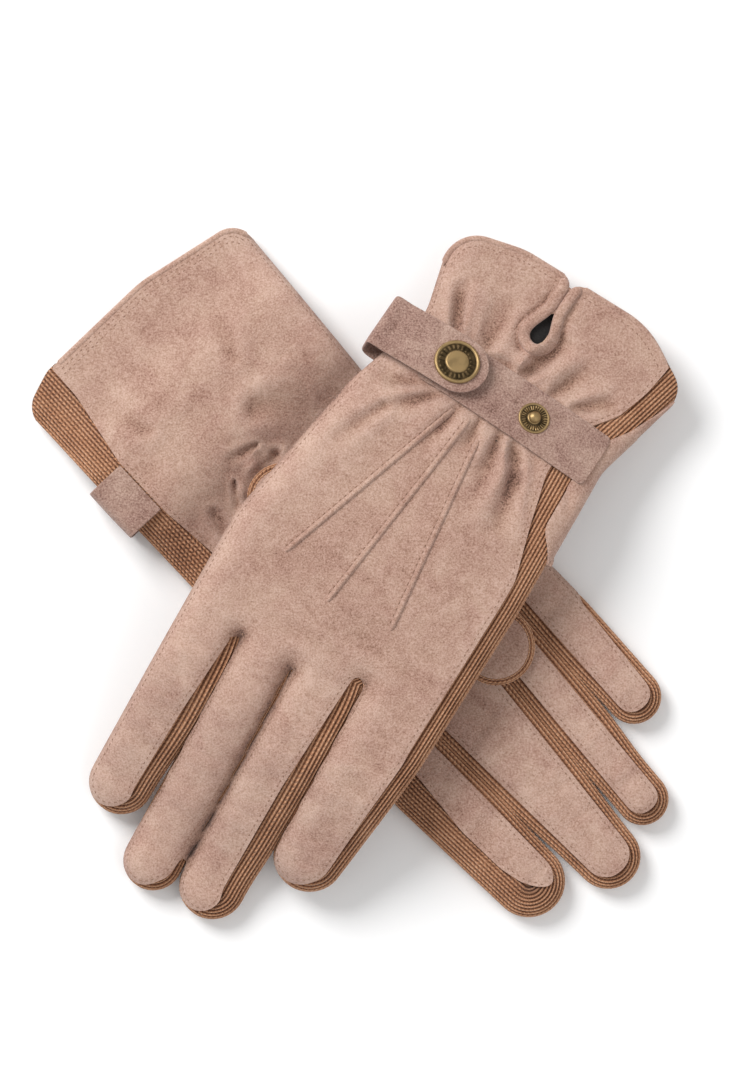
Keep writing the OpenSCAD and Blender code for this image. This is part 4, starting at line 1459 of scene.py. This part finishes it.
def makeBrass():
    # antique brass: stamped, darkened in its recesses by patina and rubbed bright on its high places
    material, tree, shader = startMaterial("antique brass, stamped", Metallic=1.0, Roughness=0.42)
    tarnish, = mottles(tree, (420.0, 4.0))
    patina = addNode(tree, "Attribute", attribute_name="patina").outputs["Fac"]
    bright = addNode(tree, "Math", {0: 1.0}, {1: patina}, operation="SUBTRACT").outputs[0]
    tone = weighed(tree, (tarnish, 0.5), (bright, 0.55))
    dress(tree, shader, tone, [(0.2, "#3a3020"), (0.42, "#6f5b40"), (0.8, "#a68c63")], tarnish, 0.25, 0.1)
    rough = addNode(tree, "MapRange", {"From Min": 0.3, "From Max": 0.7, "To Min": 0.42, "To Max": 0.62},
                    {"Value": tarnish})
    tree.links.new(rough.outputs[0], shader.inputs["Roughness"])
    return material


suede = makeSuede("brushed split suede", "#5f4437", "#93705e", "#b08e7d", "#c6a697", 0.18, 1)
strapSuede = makeSuede("rough split suede strap", "#5a4034", "#7a5a4c", "#a08072", "#bc9d8f", 0.28, 2)
cutSuede = makeCutSuede()
knitted = makeKnit()
liningCloth = makeLiningCloth()
suedeThread = makeThread()
brass = makeBrass()
print("materials made")

for hand in ("left", "right"):
    for up in (1, -1):
        suedePanel(hand, "back" if up == backUp[hand] else "palm", up)
    makeWalls(hand)
    makeLining(hand)
    makeElastic(hand)
    print(hand, "panels, walls and lining made")
    makeThumb(hand)
    makeStraps(hand)
    makeSnaps(hand)
    makePoints(hand)
    makeRolledHem(hand)
    ventRows = makeBinding(hand)
    makeStitching(hand)
    stitches(f"{hand}_vent_thread", hand, ventRows)
    print(hand, "thumb, strap, snaps and sewing made")
makeTurnUp()

# the camera looks straight down at a place measured from the left glove's cuff, and sees this many metres
view = {"fromLeftCuff": (-70.06, -77.87), "height": 0.3627, "lens": 200.0, "middle": 0.012}
sensor = 36.0


def makeFloor():
    # a level square of 4 m under the pair
    paper, _, _ = startMaterial("white paper floor", Roughness=0.9, Base_Color=hexColour("#fbfbfb"))
    corners = np.array([(-2, -2, 0), (2, -2, 0), (2, 2, 0), (-2, 2, 0)]) - (0, 0, 0.0002)
    floor = makePiece("floor", corners, [np.array([[0, 1, 2, 3]])], [paper], smooth=False)


def addLamp(name, place, size, power, target=(0, 0, 0)):
    lamp = bpy.data.lights.new(name, "AREA")
    lamp.shape, lamp.size, lamp.energy = "DISK", size, power
    holder = bpy.data.objects.new(name, lamp)
    holder.location = place
    away = mathutils.Vector(place) - mathutils.Vector(target)
    holder.rotation_euler = away.to_track_quat("Z", "Y").to_euler()
    bpy.context.scene.collection.objects.link(holder)


makeFloor()
addLamp("key light", (-0.8, 0.9, 1.1), 0.9, 24)
addLamp("fill light", (0.9, -0.5, 1.2), 1.4, 5)
world = bpy.data.worlds.new("studio")
world.use_nodes = True
world.node_tree.nodes["Background"].inputs["Color"].default_value = (1, 1, 1, 1)
world.node_tree.nodes["Background"].inputs["Strength"].default_value = 0.53
bpy.context.scene.world = world
bpy.context.scene.view_settings.view_transform = "Standard"
camera = bpy.data.objects.new("camera", bpy.data.cameras.new("camera"))
camera.data.lens, camera.data.sensor_width = view["lens"], sensor
distance = view["height"] * view["lens"] / sensor
aim = [(origin["left"][k] + view["fromLeftCuff"][k]) / 1000 for k in (0, 1)]
camera.location = (*aim, distance + view["middle"])
camera.data.clip_start, camera.data.clip_end = 0.1, 20
bpy.context.scene.collection.objects.link(camera)
bpy.context.scene.camera = camera
print("stage set")
